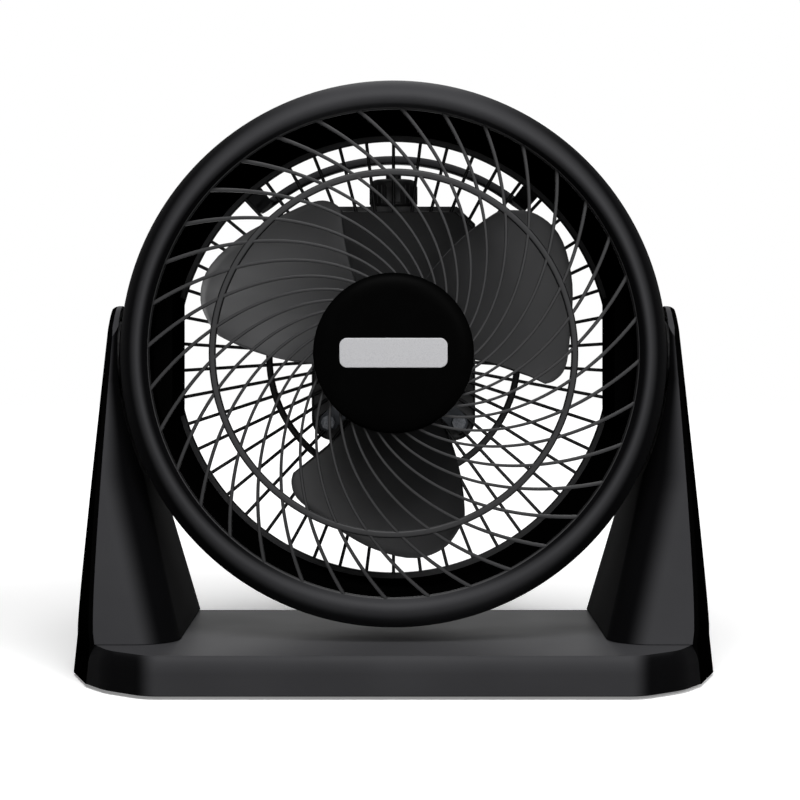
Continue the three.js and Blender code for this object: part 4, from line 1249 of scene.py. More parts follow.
@dataclass
class FrontGuard:
    """The front grille of spiral wires, the cap at its middle and the bare plate on the cap."""

    wire_count: int = 36
    phase: float = 8.8
    sweep: float = math.degrees(0.925)
    datum_radius: float = 104.3
    outer_radius: float = 105.8
    band_width: float = 3.2
    wire_width: float = 1.65
    wire_width_hub: float = 1.1
    wire_corner: float = 0.45
    ring_corner: float = 0.9
    band_corner: float = 0.8
    hub_corner: float = 0.6
    depth: float = 2.6
    front: float = -32.2
    dome: float = 6.0
    ring_radius: float = 76.0
    ring_width: float = 3.0
    hub_radius: float = 32.6
    cap_radius: float = 33.6
    cap_flat: float = 25.5
    cap_depth: float = 4.4
    cap_drop: float = 0.8           # share of its depth that its edge falls back
    cap_wall: float = 1.6
    plate_size: Pair = (45.0, 12.4)
    plate_corner: float = 3.2
    plate_thick: float = 1.1
    plate_proud: float = 0.4
    plate_edge: float = 0.3

    def rise(self, radius: float) -> float:
        """Gives the depth of the grille's front at a radius, on its shallow dome."""
        return self.front - self.dome * (1 - (radius / self.outer_radius) ** 2)

    def grille(self, shop: Workshop) -> Object:
        """Makes the wires by their rule, and adds the two hoops and the hub's plate.

        Args:
            shop: the workshop.

        Returns:
            The grille, in millimetres.
        """
        wires = shop.rules.spiral.run(
            piece_of(Shape([Vector()], []), "front_guard"), Count=self.wire_count,
            Phase=self.phase, Sweep=math.radians(self.sweep), Datum_Radius=self.datum_radius,
            Inner_Radius=self.hub_radius - 1, Outer_Radius=self.outer_radius - 1,
            Inner_Width=self.wire_width_hub, Outer_Width=self.wire_width, Depth=self.depth,
            Corner=self.wire_corner, Front=self.front, Dome=self.dome,
            Material=shop.finishes[Finish.WIRES])
        hub, edge = self.rise(self.hub_radius), self.hub_corner
        hoops = turned([(0, hub), (self.hub_radius - edge, hub), (self.hub_radius, hub + edge),
                        (self.hub_radius, hub + self.depth), (0, hub + self.depth)])
        for radius, width, corner in (
                (self.ring_radius, self.ring_width, self.ring_corner),
                (self.outer_radius - self.band_width / 2, self.band_width, self.band_corner)):
            hoops = hoops.joined(hoop(radius - width / 2, radius + width / 2, self.rise(radius),
                                      self.depth, corner, 4))
        smoothed(wires.data, 40.0)
        return merged(wires, piece_of(hoops, "hoops"))

    def cap(self) -> Object:
        """Turns the cap with its broad rounded edge, and sinks the plate's seat into it.

        Returns:
            The cap, in millimetres.
        """
        back = self.rise(self.hub_radius) - CLEARANCE
        front = back - self.cap_depth
        round_width = self.cap_radius - self.cap_flat
        drop = self.cap_depth * self.cap_drop
        edge = [(self.cap_flat + round_width * x, front + drop * (1 + y))
                for x, y in arc((0, 0), 1.0, -90, 0, 14)]
        inner = self.cap_radius - self.cap_wall
        floor = front + self.plate_thick - self.plate_proud + CLEARANCE + self.cap_wall
        outline = [(0, front), *edge, (self.cap_radius, back), (inner, back),
                   (inner, front + drop), (self.cap_flat, floor), (0, floor)]
        cap = piece_of(turned(outline), "nose_cap_round")
        width, height = (size + 2 * CLEARANCE for size in self.plate_size)
        seat = rounded_box(width, height, self.plate_corner + CLEARANCE)
        depth = front + self.plate_thick - self.plate_proud + CLEARANCE
        return combined(cap, piece_of(slab(seat, front - OVERCUT, depth), "seat"))

    def plate(self) -> Object:
        """Makes the bare plate, with a small rounding round its face.

        Returns:
            The plate, in millimetres.
        """
        front = self.rise(self.hub_radius) - CLEARANCE - self.cap_depth - self.plate_proud
        outline = rounded_box(*self.plate_size, self.plate_corner)
        flat = piece_of(slab(outline, front, front + self.plate_thick), "bare_plate")
        return bevelled(flat, self.plate_edge, 3, 60.0)

    def make(self, shop: Workshop) -> None:
        """Builds and fits the grille, the cap and the plate.

        Args:
            shop: the workshop.
        """
        shop.fit(self.grille(shop), ON_HEAD, Body.HEAD, Slot.SATIN, "front_grille",
                 finish=Finish.WIRES)
        shop.fit(self.cap(), ON_HEAD, Body.HEAD, Slot.CAP, "nose_cap")
        shop.fit(self.plate(), ON_HEAD, Body.HEAD, Slot.PLATE, "name_plate_blank")


@dataclass
class RearGuard:
    """The rear grille of straight ribs, and the handle that arches over it."""

    rib_count: int = 50
    rib_width: float = 1.5
    rib_corner: float = 0.6
    hoop_corners: Triple = (0.8, 0.8, 0.9)      # of the hub, the middle hoop and the outer one
    depth: float = 3.0
    front: float = 45.7
    dome: float = 3.0
    ring_inner: float = 97.8
    ring_outer: float = 104.0
    mid_radius: float = 56.5
    mid_width: float = 3.0
    hub_inner: float = 31.0
    hub_outer: float = 35.5
    lug_radius: float = 3.0
    lug_circle: float = 106.0
    boss_radius: float = 4.0
    boss_circle: float = 42.0
    boss_front: float = 1.4
    boss_back: float = 2.4
    mount_half: float = 36.6
    mount_top: Pair = (27.8, 66.2)
    mount_shoulder: float = 58.2
    mount_foot: float = 30.0     # degrees at which its foot leaves the hub
    mount_front: float = 47.0
    mount_back: float = 51.7
    mount_edge: float = 0.6
    handle_radius: float = 91.5
    handle_width: float = 3.8
    handle_bar: float = 7.0
    handle_back: float = 71.0
    handle_start: float = 48.0
    handle_end: float = 133.0
    handle_post: float = 5.0
    handle_bend: float = 6.0
    handle_corner: float = 1.3
    pad_thick: float = 3.0
    pad_edge: float = 0.5

    def rise(self, radius: float) -> float:
        """Gives how far the grille bulges to the rear at a radius."""
        share = (self.ring_inner - radius) / (self.ring_inner - self.hub_outer)
        return self.dome * min(max(share, 0.0), 1.0)

    def rib(self) -> Shape:
        """Skins one rib from the hub to the outer ring, rounded in front and behind.

        Returns:
            A closed shape.
        """
        section = rounded_box(self.rib_width, self.depth, self.rib_corner, 3)
        rings = []
        for radius in (self.hub_outer - 1, self.mid_radius, self.ring_inner + 1):
            middle = self.front + self.rise(radius) + self.depth / 2
            rings.append([Vector((radius, middle + z, x)) for x, z in section])
        return lofted(rings)

    def button(self, radius: float, circle: float, front: float, back: float) -> Shape:
        """Turns a small round boss at a distance from the shaft, at three o'clock.

        Args:
            radius: its radius.
            circle: its distance from the shaft.
            front: depth of its front.
            back: depth of its back.

        Returns:
            A closed shape.
        """
        edge = 0.4
        outline = [(0, front), (radius - edge, front), (radius, front + edge),
                   (radius, back - edge), (radius - edge, back), (0, back)]
        return turned(outline, 24).moved(Matrix.Translation((circle, 0, 0)))

    def mount(self) -> Object:
        """Closes the ribs in front of the tower with the plate that they run into.

        Returns:
            The plate, standing on the hub, in millimetres.
        """
        (top_half, top), foot = self.mount_top, self.mount_foot
        hub = arc((0, 0), self.hub_outer - 0.5, foot, 180 - foot, 24)
        outline = [*hub, (-self.mount_half, hub[0][1]), (-self.mount_half, self.mount_shoulder),
                   (-top_half, top), (top_half, top), (self.mount_half, self.mount_shoulder),
                   (self.mount_half, hub[0][1])]
        plate = piece_of(slab(outline, self.mount_front, self.mount_back), "mount")
        return bevelled(plate, self.mount_edge)

    def grille(self, shop: Workshop) -> Object:
        """Repeats the rib, the bosses and the lugs about the shaft, and adds the hoops.

        Args:
            shop: the workshop.

        Returns:
            The grille, in millimetres.
        """
        turn, material = shop.rules.turned, shop.finishes[Finish.WIRES]
        ribs = turn.run(piece_of(self.rib(), "rear_guard"), Count=self.rib_count, First=90.0,
                        Step=360 / self.rib_count, Material=material)
        at_boss = self.front + self.rise(self.boss_circle)
        buttons = self.button(self.boss_radius, self.boss_circle, at_boss - self.boss_front,
                              at_boss + self.depth + self.boss_back)
        buttons = buttons.joined(self.button(self.lug_radius, self.lug_circle, self.front,
                                             self.front + self.depth))
        four = turn.run(piece_of(buttons, "buttons"), Count=4, First=45.0, Step=90.0,
                        Material=material)
        half, hoops = self.mid_width / 2, Shape()
        spans = ((self.hub_inner, self.hub_outer),
                 (self.mid_radius - half, self.mid_radius + half),
                 (self.ring_inner, self.ring_outer))
        for (inner, outer), corner in zip(spans, self.hoop_corners):
            front = self.front + self.rise((inner + outer) / 2)
            hoops = hoops.joined(hoop(inner, outer, front, self.depth, corner, 3))
        return merged(ribs, four, piece_of(hoops, "hoops"), self.mount())

    def handle_path(self) -> list[Pair]:
        """Draws the handle's middle line on the cylinder that it lies on.

        Returns:
            Angle in degrees and depth of each point, from the right foot to the left one.
        """
        foot = self.front + self.depth + self.rise(self.handle_radius) + CLEARANCE
        middle = self.handle_back - self.handle_bar / 2
        start = self.handle_start + self.handle_post / 2
        end = self.handle_end - self.handle_post / 2
        bend, per_degree = self.handle_bend, math.radians(1) * self.handle_radius
        turn = [(start + (bend - x) / per_degree, middle - bend + z)
                for x, z in arc((0, 0), bend, 0, 90, 8)]
        bar = [(lerp(turn[-1][0], end - bend / per_degree, i / 40), middle) for i in range(1, 40)]
        back = [(end - (angle - start), depth) for angle, depth in reversed(turn)]
        return [(start, foot), *turn, *bar, *back, (end, foot)]

    def handle(self) -> Object:
        """Sweeps the bar along its path, and adds the two pads that are screwed down.

        Returns:
            The handle, in millimetres.
        """
        path = self.handle_path()
        spots = [Vector((*polar(self.handle_radius, angle), depth)) for angle, depth in path]
        spots = [Vector((x, depth, z)) for x, z, depth in spots]
        section = rounded_box(self.handle_width, self.handle_bar, self.handle_corner, 4)
        rings = []
        for i, (spot, (angle, _)) in enumerate(zip(spots, path)):
            ahead = (spots[min(i + 1, len(spots) - 1)] - spots[max(i - 1, 0)]).normalized()
            x, z = polar(1.0, angle)
            outward = Vector((x, 0, z))
            across = outward.cross(ahead).normalized()
            rings.append([spot + outward * u + across * v for u, v in section])
        bar = piece_of(lofted(rings), "handle_arch", 40.0)
        foot, half = path[0][1], self.handle_post / 2
        inner, outer = self.handle_radius - self.handle_width / 2, self.ring_outer - CLEARANCE
        pads = []
        for angle in (path[0][0], path[-1][0]):
            outline = (arc((0, 0), inner, angle - half, angle + half, 6)
                       + arc((0, 0), outer, angle + half, angle - half, 6))
            pad = piece_of(slab(outline, foot, foot + self.pad_thick), "pad")
            pads.append(bevelled(pad, self.pad_edge))
        return merged(bar, *pads)

    def make(self, shop: Workshop) -> None:
        """Builds and fits the grille and the handle.

        Args:
            shop: the workshop.
        """
        shop.fit(self.grille(shop), ON_HEAD, Body.HEAD, Slot.SATIN, "rear_grille",
                 finish=Finish.WIRES)
        shop.fit(self.handle(), ON_HEAD, Body.HEAD, Slot.SHELL, "carrying_handle")


@dataclass
class MotorCover:
    """The box behind the rear grille, with the tower that carries the speed knob."""

    half_width: float = 37.4
    top_half_width: float = 29.0
    shoulder: float = 8.0
    corner: float = 10.0
    top: float = 69.0
    bottom: float = -38.0
    front: float = 52.0
    back: float = 70.5
    wall: float = 2.2
    face_thick: float = 1.4
    edge: float = 1.5
    brow: Pair = (3.0, 1.6)       # of the step along the tower's top: height, depth
    boss_circle: float = 42.0
    post_radius: float = 5.0
    sink_radius: float = 3.5
    sink_depth: float = 4.5
    vent_count: int = 7
    vent_pitch: float = 6.0
    vent_width: float = 2.6
    vent_length: float = 40.0
    shaft_hole: float = 4.5
    knob_radius: float = 10.7
    knob_height: float = 12.7
    knob_chamfer: float = 2.4
    grip_width: float = 7.0
    grip_height: float = 2.6
    pointer: Triple = (7.0, 7.6, 0.5)
    flute_count: int = 30           # with the two that the pointer leaves no room for
    flute_radius: float = 0.35
    flute_ends: Pair = (1.2, 0.6)   # above the knob's foot, and below its chamfer
    gland_radius: float = 6.5
    gland_bore: float = 3.4
    gland_drop: float = 6.0

    @property
    def middle(self) -> float:
        """The depth of the knob's and the gland's axis."""
        return (self.front + self.back) / 2

    def outline(self, inset: float, lowered: float = 0.0) -> list[Pair]:
        """Draws the box seen from the front, drawn in by an inset.

        Args:
            inset: how far every side is drawn in.
            lowered: how far the tower's top is lowered besides.

        Returns:
            The outline's corners in X and Z.
        """
        w, bottom, corner = self.half_width - inset, self.bottom + inset, self.corner - inset
        top, top_half = self.top - inset - lowered, self.top_half_width - inset * 0.4
        shoulder = self.top - self.shoulder - inset * 0.4 - lowered
        return [(top_half, top), (-top_half, top), (-w, shoulder),
                *arc((corner - w, bottom + corner), corner, 180, 270, 10),
                *arc((w - corner, bottom + corner), corner, 270, 360, 10), (w, shoulder)]

    def cover(self, shop: Workshop) -> Object:
        """Hollows the box out, steps its brow back, and cuts its vents and screw wells.

        Args:
            shop: the workshop.

        Returns:
            The cover, in millimetres.
        """
        cover = piece_of(slab(self.outline(0), self.front, self.back), "motor_box")
        cover = bevelled(cover, self.edge, 4, 50.0)
        inside = slab(self.outline(self.wall), self.front + self.face_thick,
                      self.back - self.wall)
        combined(cover, piece_of(inside, "inside"))
        step, deep = self.brow
        reach, low, high = self.half_width + OVERCUT, self.top - step, self.top + OVERCUT
        brow = slab([(-reach, low), (reach, low), (reach, high), (-reach, high)],
                    self.front - OVERCUT, self.front + deep)
        combined(cover, piece_of(brow, "brow"))
        material = shop.finishes[Finish.VANES]
        slot_shape = rounded_box(self.vent_length, self.vent_width, self.vent_width / 2 - 0.1)
        vents = piece_of(slab(slot_shape, self.back - 2 * self.wall, self.back + OVERCUT), "vents")
        shop.rules.grid.run(vents, Columns=1, Rows=self.vent_count, Width=0.0,
                            Height=self.vent_pitch * (self.vent_count - 1),
                            Lean=(math.pi / 2, 0, 0), Material=material)
        combined(cover, vents)
        face = (self.front - OVERCUT, self.front + self.face_thick + OVERCUT)
        tools = []
        for name, radius, ends in (
                ("wells", self.sink_radius, (self.back - self.sink_depth, self.back + OVERCUT)),
                ("seats", self.post_radius, face)):
            one = peg(radius, *ends, 24).moved(Matrix.Translation((self.boss_circle, 0, 0)))
            tools.append(shop.rules.turned.run(piece_of(one, name), Count=4, First=45.0,
                                               Step=90.0, Material=material))
        for tool in (*tools, piece_of(peg(self.shaft_hole, *face, 24), "hole")):
            combined(cover, tool)
        return even_normals(cover)

    def knob(self, shop: Workshop) -> Object:
        """Turns the knob, and adds its finger grip, its pointer and fine flutes round its foot.

        Args:
            shop: the workshop.

        Returns:
            The knob, in millimetres.
        """
        foot, top = self.top + CLEARANCE, self.top + self.knob_height
        r, c, skirt = self.knob_radius, self.knob_chamfer, 0.6
        outline = [(0, foot), (r - skirt, foot), (r, foot + skirt),
                   *arc((r - c, top - c), c, 0, 90, 6), (0, top)]
        body = piece_of(turned(outline, 96), "knob_turned")
        above, below = self.flute_ends
        flute = peg(self.flute_radius, foot + above, top - c - below, 6)
        flutes = piece_of(flute.moved(Matrix.Translation((r, 0, 0))), "flutes")
        pitch = 360 / self.flute_count
        shop.rules.turned.run(flutes, Count=self.flute_count - 2, First=90 + 1.5 * pitch,
                              Step=pitch, Material=shop.finishes[Finish.VANES])
        width, height, proud = self.pointer
        body.data.transform(self.upright())
        flutes.data.transform(self.upright())
        grip = rounded_box(self.grip_width, 2 * r - 3, 2.0)
        ridge = lofted([[Vector((x * k, self.middle + y * k, z)) for x, y in grip] for z, k in (
            (top - 0.5, 1.0), (top + self.grip_height - 0.8, 1.0),
            (top + self.grip_height - 0.2, 0.95), (top + self.grip_height, 0.88))])
        mark = rounded_box(width, height, 0.6, 4)
        high = (foot + top - c) / 2
        face = self.middle - r
        tab = lofted([[Vector((x * k, face + y, high + z * k)) for x, z in mark] for y, k in (
            (1.2, 1.0), (0.3 - proud, 1.0), (-proud, 0.9))])
        return merged(body, flutes, piece_of(ridge, "ridge"), piece_of(tab, "tab"))

    def upright(self) -> Matrix:
        """Gives the matrix that stands a turned shape up on the knob's axis."""
        return Matrix.Translation((0, self.middle, 0)) @ Matrix.Rotation(math.pi / 2, 4, "X")

    def gland(self) -> Shape:
        """Turns the gland of the mains lead, with its collar and two grooves.

        Returns:
            A closed shape.
        """
        b, r, neck = self.gland_bore, self.gland_radius, self.gland_radius - 1.9
        low, flange = self.bottom - self.gland_drop, self.bottom - 2.0
        outline = [(b, low), (neck - 0.5, low), (neck, low + 0.5), (neck, low + 1.4),
                   (neck - 0.6, low + 1.6), (neck - 0.6, low + 2.2), (neck, low + 2.4),
                   (r - 0.4, flange), (r, flange + 0.4), (r, self.bottom - CLEARANCE),
                   (neck, self.bottom - CLEARANCE), (neck, self.bottom + 4.2),
                   (b, self.bottom + 4.2)]
        return turned(outline, SMALL_ROUND).moved(self.upright())

    def make(self, shop: Workshop) -> None:
        """Builds and fits the cover, the knob and the gland.

        Args:
            shop: the workshop.
        """
        shop.fit(self.cover(shop), ON_HEAD, Body.HEAD, Slot.SHELL, "motor_cover",
                 finish=Finish.VANES)
        shop.fit(self.knob(shop), ON_HEAD, Body.KNOB, Slot.SATIN, "speed_knob",
                 finish=Finish.VANES)
        gland = piece_of(self.gland(), "lead_gland")
        shop.fit(gland, ON_HEAD, Body.HEAD, Slot.RUBBER, "cord_gland")


# ---- Rotor

@dataclass
class Impeller:
    """The hub and its three wide blades, with the nut that holds them on the shaft."""

    blade_count: int = 3
    hub_radius: float = 31.0
    hub_front: float = -22.0
    hub_back: float = 7.0
    hub_round: float = 3.0
    hub_wall: float = 2.4
    sleeve: float = 8.0
    bore: float = 3.3
    blade_radius: float = 88.3
    tip: tuple[Pair, ...] = (      # share of the chord, and share of the radius cut away
        (0.0, 0.23), (0.03, 0.185), (0.1, 0.143), (0.26, 0.119), (0.38, 0.0895), (0.54, 0.04),
        (0.72, 0.0), (0.85, 0.025), (0.94, 0.0895), (1.0, 0.15))
    root_angles: Pair = (119.0, 188.5)
    tip_angles: Pair = (109.4, 174.0)
    depths: Pair = (15.0, -17.0)
    camber: float = 3.0
    thickness: float = 2.0
    chord_steps: int = 44
    span_steps: int = 18
    nut_radius: float = 7.0
    nut_thickness: float = 4.0
    nut_edge: float = 0.5
    edge_share: float = 0.012       # of the chord, over which both edges of a blade round off

    def blade(self) -> Shape:
        """Skins one blade from its leading edge to its trailing edge.

        Returns:
            A closed shape.
        """
        rings = []
        root = self.hub_radius - self.hub_wall * 0.6
        for i in range(self.chord_steps + 1):
            eased = (1 - math.cos(math.pi * i / self.chord_steps)) / 2
            share, cut = through(list(self.tip), lerp(i / self.chord_steps, eased, 0.5))
            share = min(max(share, 0.0), 1.0)
            edge = min(share, 1 - share)
            half = self.thickness / 2 * (1 - 0.55 * abs(2 * share - 1) ** 3)
            half *= min(1.0, 0.35 + math.sqrt(edge / self.edge_share))
            depth = lerp(*self.depths, share) + self.camber * 4 * share * (1 - share)
            front, back = [], []
            for j in range(self.span_steps + 1):
                out = 1 - (1 - j / self.span_steps) ** 1.3
                radius = lerp(root, self.blade_radius * (1 - cut), out)
                start, end = (lerp(a, b, share) for a, b in (self.root_angles, self.tip_angles))
                x, z = polar(radius, lerp(start, end, out))
                thin = half * (1.0 if j < self.span_steps else 0.5)
                front.append(Vector((x, depth - thin, z)))
                back.append(Vector((x, depth + thin, z)))
            rings.append(front + back[::-1])
        return lofted(rings)

    def hub(self) -> Shape:
        """Turns the cup-shaped hub, with the sleeve round the shaft.

        Returns:
            A closed shape.
        """
        r, front, wall, soft = self.hub_radius, self.hub_front, self.hub_wall, self.hub_round
        return turned([(self.bore, front), *arc((r - soft, front + soft), soft, -90, 0, 8),
                       (r, self.hub_back), (r - wall, self.hub_back),
                       (r - wall, front + wall + soft), (r - wall - soft, front + wall),
                       (self.sleeve, front + wall), (self.sleeve, self.hub_back),
                       (self.bore, self.hub_back)], 120)

    def nut(self) -> Object:
        """Makes the hexagonal nut with its corners turned down and its bore.

        Returns:
            The nut, in millimetres.
        """
        back = self.hub_front - CLEARANCE
        front = back - self.nut_thickness
        corners = [polar(self.nut_radius, 60 * i) for i in range(6)]
        nut = bevelled(piece_of(slab(corners, front, back), "hub_nut"), self.nut_edge)
        hole = peg(self.bore, front - OVERCUT, back + OVERCUT, 32)
        return combined(nut, piece_of(hole, "hole"))

    def make(self, shop: Workshop) -> None:
        """Builds and fits the bladed hub and the nut.

        Args:
            shop: the workshop.
        """
        blades = shop.rules.turned.run(
            piece_of(self.blade(), "bladed_hub"), Count=self.blade_count, First=0.0,
            Step=360 / self.blade_count, Material=shop.finishes[Finish.VANES])
        inside = peg(self.hub_radius - self.hub_wall * 0.9, self.hub_front + self.hub_wall,
                     20.0, 120)
        combined(blades, piece_of(inside, "inside"), sharp=45.0)
        vanes = merged(blades, piece_of(self.hub(), "hub"))
        shop.fit(vanes, ON_HEAD, Body.ROTOR, Slot.VANES, "impeller")
        shop.fit(self.nut(), ON_HEAD, Body.ROTOR, Slot.NYLON, "impeller_nut")


# ---- Stand

@dataclass
class Stand:
    """The flat base and the two arms, whose outer sides lean in and are clad by covers."""

    half_width: float = 139.86
    lean: float = 0.1105
    front: float = -75.0
    rear: float = 75.0
    front_half_width: float = 100.86
    corner: Pair = (119.36, -59.0)
    shoulder: Pair = (11.2, -43.0)    # inside the side, and its Y
    cheek: Pair = (1.6, -10.5)
    side_y: float = 25.0
    eases: Triple = (6.0, 6.0, 4.0)
    floor_gap: float = 1.5
    top: float = 17.8
    shoulder_round: Pair = (4.2, 8.0)       # of the top edge: how far in, and how high
    shoulder_turn: float = math.radians(64)
    wall: float = 2.5
    arm_inner: float = 90.36
    arm_rear: float = 74.0
    arm_rear_chamfer: Pair = (2.0, 6.0)
    arm_inner_lean: float = 0.241
    arm_inner_top: float = 117.0
    arm_corner: float = 18.0
    arm_corner_edge: float = 0.6
    arm_top_radius: float = 21.2
    arm_chamfer_top: float = 1.0
    arm_chamfer_fade: float = 0.6
    arm_round: float = 3.6
    cover_thick: float = 1.6
    sweep: float = 119.2
    pad_radius: float = 16.0
    washer_hole: float = 5.8
    foot_radius: float = 8.0
    foot_places: tuple[Pair, ...] = ((96.86, -54.0), (124.06, 58.0))
    foot_height: float = 1.5

    @property
    def arm_foot(self) -> float:
        """The height of the arms' lower end, just above the base."""
        return self.top + CLEARANCE

    def side_at(self, z: float) -> float:
        """Gives the X of the leaning side at a height."""
        return self.half_width - self.lean * z

    def outline(self, inset: float, z: float) -> list[Vector]:
        """Draws the base seen from above at a height, with every corner eased off.

        Args:
            inset: how far it is drawn in, square to each edge.
            z: the height.

        Returns:
            The points, counter-clockwise.
        """
        front_ease, corner_ease, rear_ease = self.eases
        half = [(self.front_half_width, self.front, front_ease), (*self.corner, corner_ease),
                (self.side_at(z) - self.shoulder[0], self.shoulder[1], 0.0),
                (self.side_at(z) - self.cheek[0], self.cheek[1], 0.0),
                (self.side_at(z), self.side_y, 0.0), (self.side_at(z), self.rear, rear_ease)]
        whole = half + [(-x, y, ease) for x, y, ease in reversed(half)]
        smooth = []
        for i, (x, y, ease) in enumerate(whole):
            here = Vector((x, y))
            if not ease:
                smooth.append(here)
                continue
            before, after = Vector(whole[i - 1][:2]), Vector(whole[(i + 1) % len(whole)][:2])
            start = here + (before - here).normalized() * ease
            end = here + (after - here).normalized() * ease
            for j in range(9):
                t = j / 8
                smooth.append(start * (1 - t) ** 2 + here * (2 * t * (1 - t)) + end * t ** 2)
        drawn = []
        for i, here in enumerate(smooth):
            before, after = smooth[i - 1], smooth[(i + 1) % len(smooth)]
            a, b = (here - before).normalized(), (after - here).normalized()
            normals = Vector((-a.y, a.x)), Vector((-b.y, b.x))
            middle = (normals[0] + normals[1]).normalized()
            at = here + middle * (inset / max(middle.dot(normals[0]), 0.5))
            drawn.append(Vector((at.x, at.y, z)))
        return drawn

    def beside_covers(self, inset: float) -> Shape:
        """Fills all that lies outside the covers' lower ends on the right.

        Args:
            inset: how much nearer the middle than the covers' outer faces it reaches.

        Returns:
            A closed shape.
        """
        across, back = self.arm_rear_chamfer
        far, behind, chamfer_y = 2 * self.half_width, self.rear + OVERCUT, self.arm_rear - back
        rings = []
        for z in (-OVERCUT, self.top + OVERCUT):
            side = self.side_at(z) - inset
            rings.append([Vector((x, y, z)) for x, y in (
                (far, self.shoulder[1] - CLEARANCE), (far, behind),
                (side - across * (behind - chamfer_y) / back, behind), (side, chamfer_y),
                (side, self.side_y), (side - self.cheek[0], self.cheek[1]),
                (side - self.shoulder[0], self.shoulder[1] - CLEARANCE))])
        return lofted(rings)

    def base(self) -> Object:
        """Skins the base with its rounded top edge, hollow below, and recessed for the covers.

        Returns:
            The base, in millimetres.
        """
        rise = [self.outline(0.4, self.floor_gap), self.outline(0, self.floor_gap + 0.4)]
        drawn_in, high = self.shoulder_round
        for i in range(9):
            a = self.shoulder_turn * i / 8
            rise.append(self.outline(drawn_in * (1 - math.cos(a)),
                                     self.top - high * (math.sin(self.shoulder_turn)
                                                        - math.sin(a))))
        base = piece_of(lofted(rise), "base_top", 16.0)
        seat = self.cover_thick + CLEARANCE
        beside = self.beside_covers(seat)
        combined(base, piece_of(beside.joined(beside.moved(MIRROR)), "beside"))
        hollow = piece_of(lofted([self.outline(self.wall, -OVERCUT),
                                  self.outline(self.wall, self.top - self.wall)]), "hollow")
        inner = self.beside_covers(seat + self.wall)
        combined(hollow, piece_of(inner.joined(inner.moved(MIRROR)), "inner"))
        combined(base, hollow)
        return even_normals(base)

    def arm_section(self, z: float, behind: float = 0.0) -> list[Vector]:
        """Draws one horizontal section of the right arm.

        Args:
            z: its height.
            behind: above 0, the section of all that lies this far inside the outer face.

        Returns:
            The points, counter-clockwise seen from above.
        """
        rise = max(z - self.arm_foot, 0.0) / (PIVOT_Z - self.arm_foot)
        outer = self.side_at(z) - behind
        cheek = outer - self.cheek[0]
        front = lerp(self.shoulder[1], -self.arm_top_radius, rise)
        widest = self.shoulder[0] - self.cheek[0]
        across = lerp(widest, self.arm_chamfer_top, rise ** self.arm_chamfer_fade)
        back = across * (self.cheek[1] - self.shoulder[1]) / widest
        rear_across, rear_back = self.arm_rear_chamfer
        chamfer = [(cheek - across * (1 - i / 6), front + back * i / 6) for i in range(7)]
        side = [(lerp(cheek, outer, i / 4), lerp(front + back, self.side_y, i / 4))
                for i in range(1, 5)]
        rear = [(outer, self.arm_rear - rear_back), (outer - rear_across, self.arm_rear)]
        if behind:
            reach, inner = 4 * OVERCUT, self.arm_inner - 4 * OVERCUT
            points = [(chamfer[0][0], front - reach), *chamfer, *side, *rear,
                      (rear[-1][0], self.arm_rear + reach), (inner, self.arm_rear + reach),
                      (inner, front - reach)]
        else:
            inner = min(self.arm_inner + self.arm_inner_lean * (z - self.arm_foot),
                        self.arm_inner_top)
            corner = min(self.arm_corner, chamfer[0][0] - inner - self.arm_corner_edge)
            bend = arc((inner + corner, front + corner), corner, 180, 270, 24)
            points = [*chamfer, *side, *rear, (inner, self.arm_rear), *bend]
        return [Vector((x, y, z)) for x, y in points]

    def heights(self) -> list[float]:
        """Lists the heights of an arm's sections, from the floor gap to past its top."""
        top = PIVOT_Z + self.arm_top_radius + OVERCUT
        return [self.floor_gap, self.arm_foot,
                *(lerp(self.arm_foot, PIVOT_Z, i / 24) for i in range(1, 25)), top]

    def arm_side(self) -> Shape:
        """Makes the arm's outline seen from the side a cushion whose outer edge is rounded.

        Returns:
            A closed shape, leaning as the arm's outer face does.
        """
        def profile(inset: float) -> list[Pair]:
            """Draws the outline in Y and Z, drawn in by an inset."""
            radius, foot, low = self.arm_top_radius - inset, self.arm_foot, -10.0
            ends = []
            for y in (self.shoulder[1] + inset, self.arm_rear - inset):
                towards = math.atan2(foot - PIVOT_Z, y)
                half = math.acos(radius / math.hypot(y, PIVOT_Z - foot))
                ends.append(towards - half if y < 0 else towards + half)
            start, end = math.degrees(ends[1]), math.degrees(ends[0]) + 360
            front, rear = self.shoulder[1] + inset, self.arm_rear - inset
            return [(front, foot), (front, low), (rear, low), (rear, foot),
                    *arc((0, PIVOT_Z), radius, start, end, 48)]

        reach, soft = self.side_at(0), self.arm_round
        levels = [(self.arm_inner - 30.0, 0.0), *arc((reach - soft, soft), soft, -90, 0, 8),
                  (reach + OVERCUT, soft)]
        return lofted([[Vector((x - self.lean * z, y, z)) for y, z in profile(inset)]
                       for x, inset in levels])

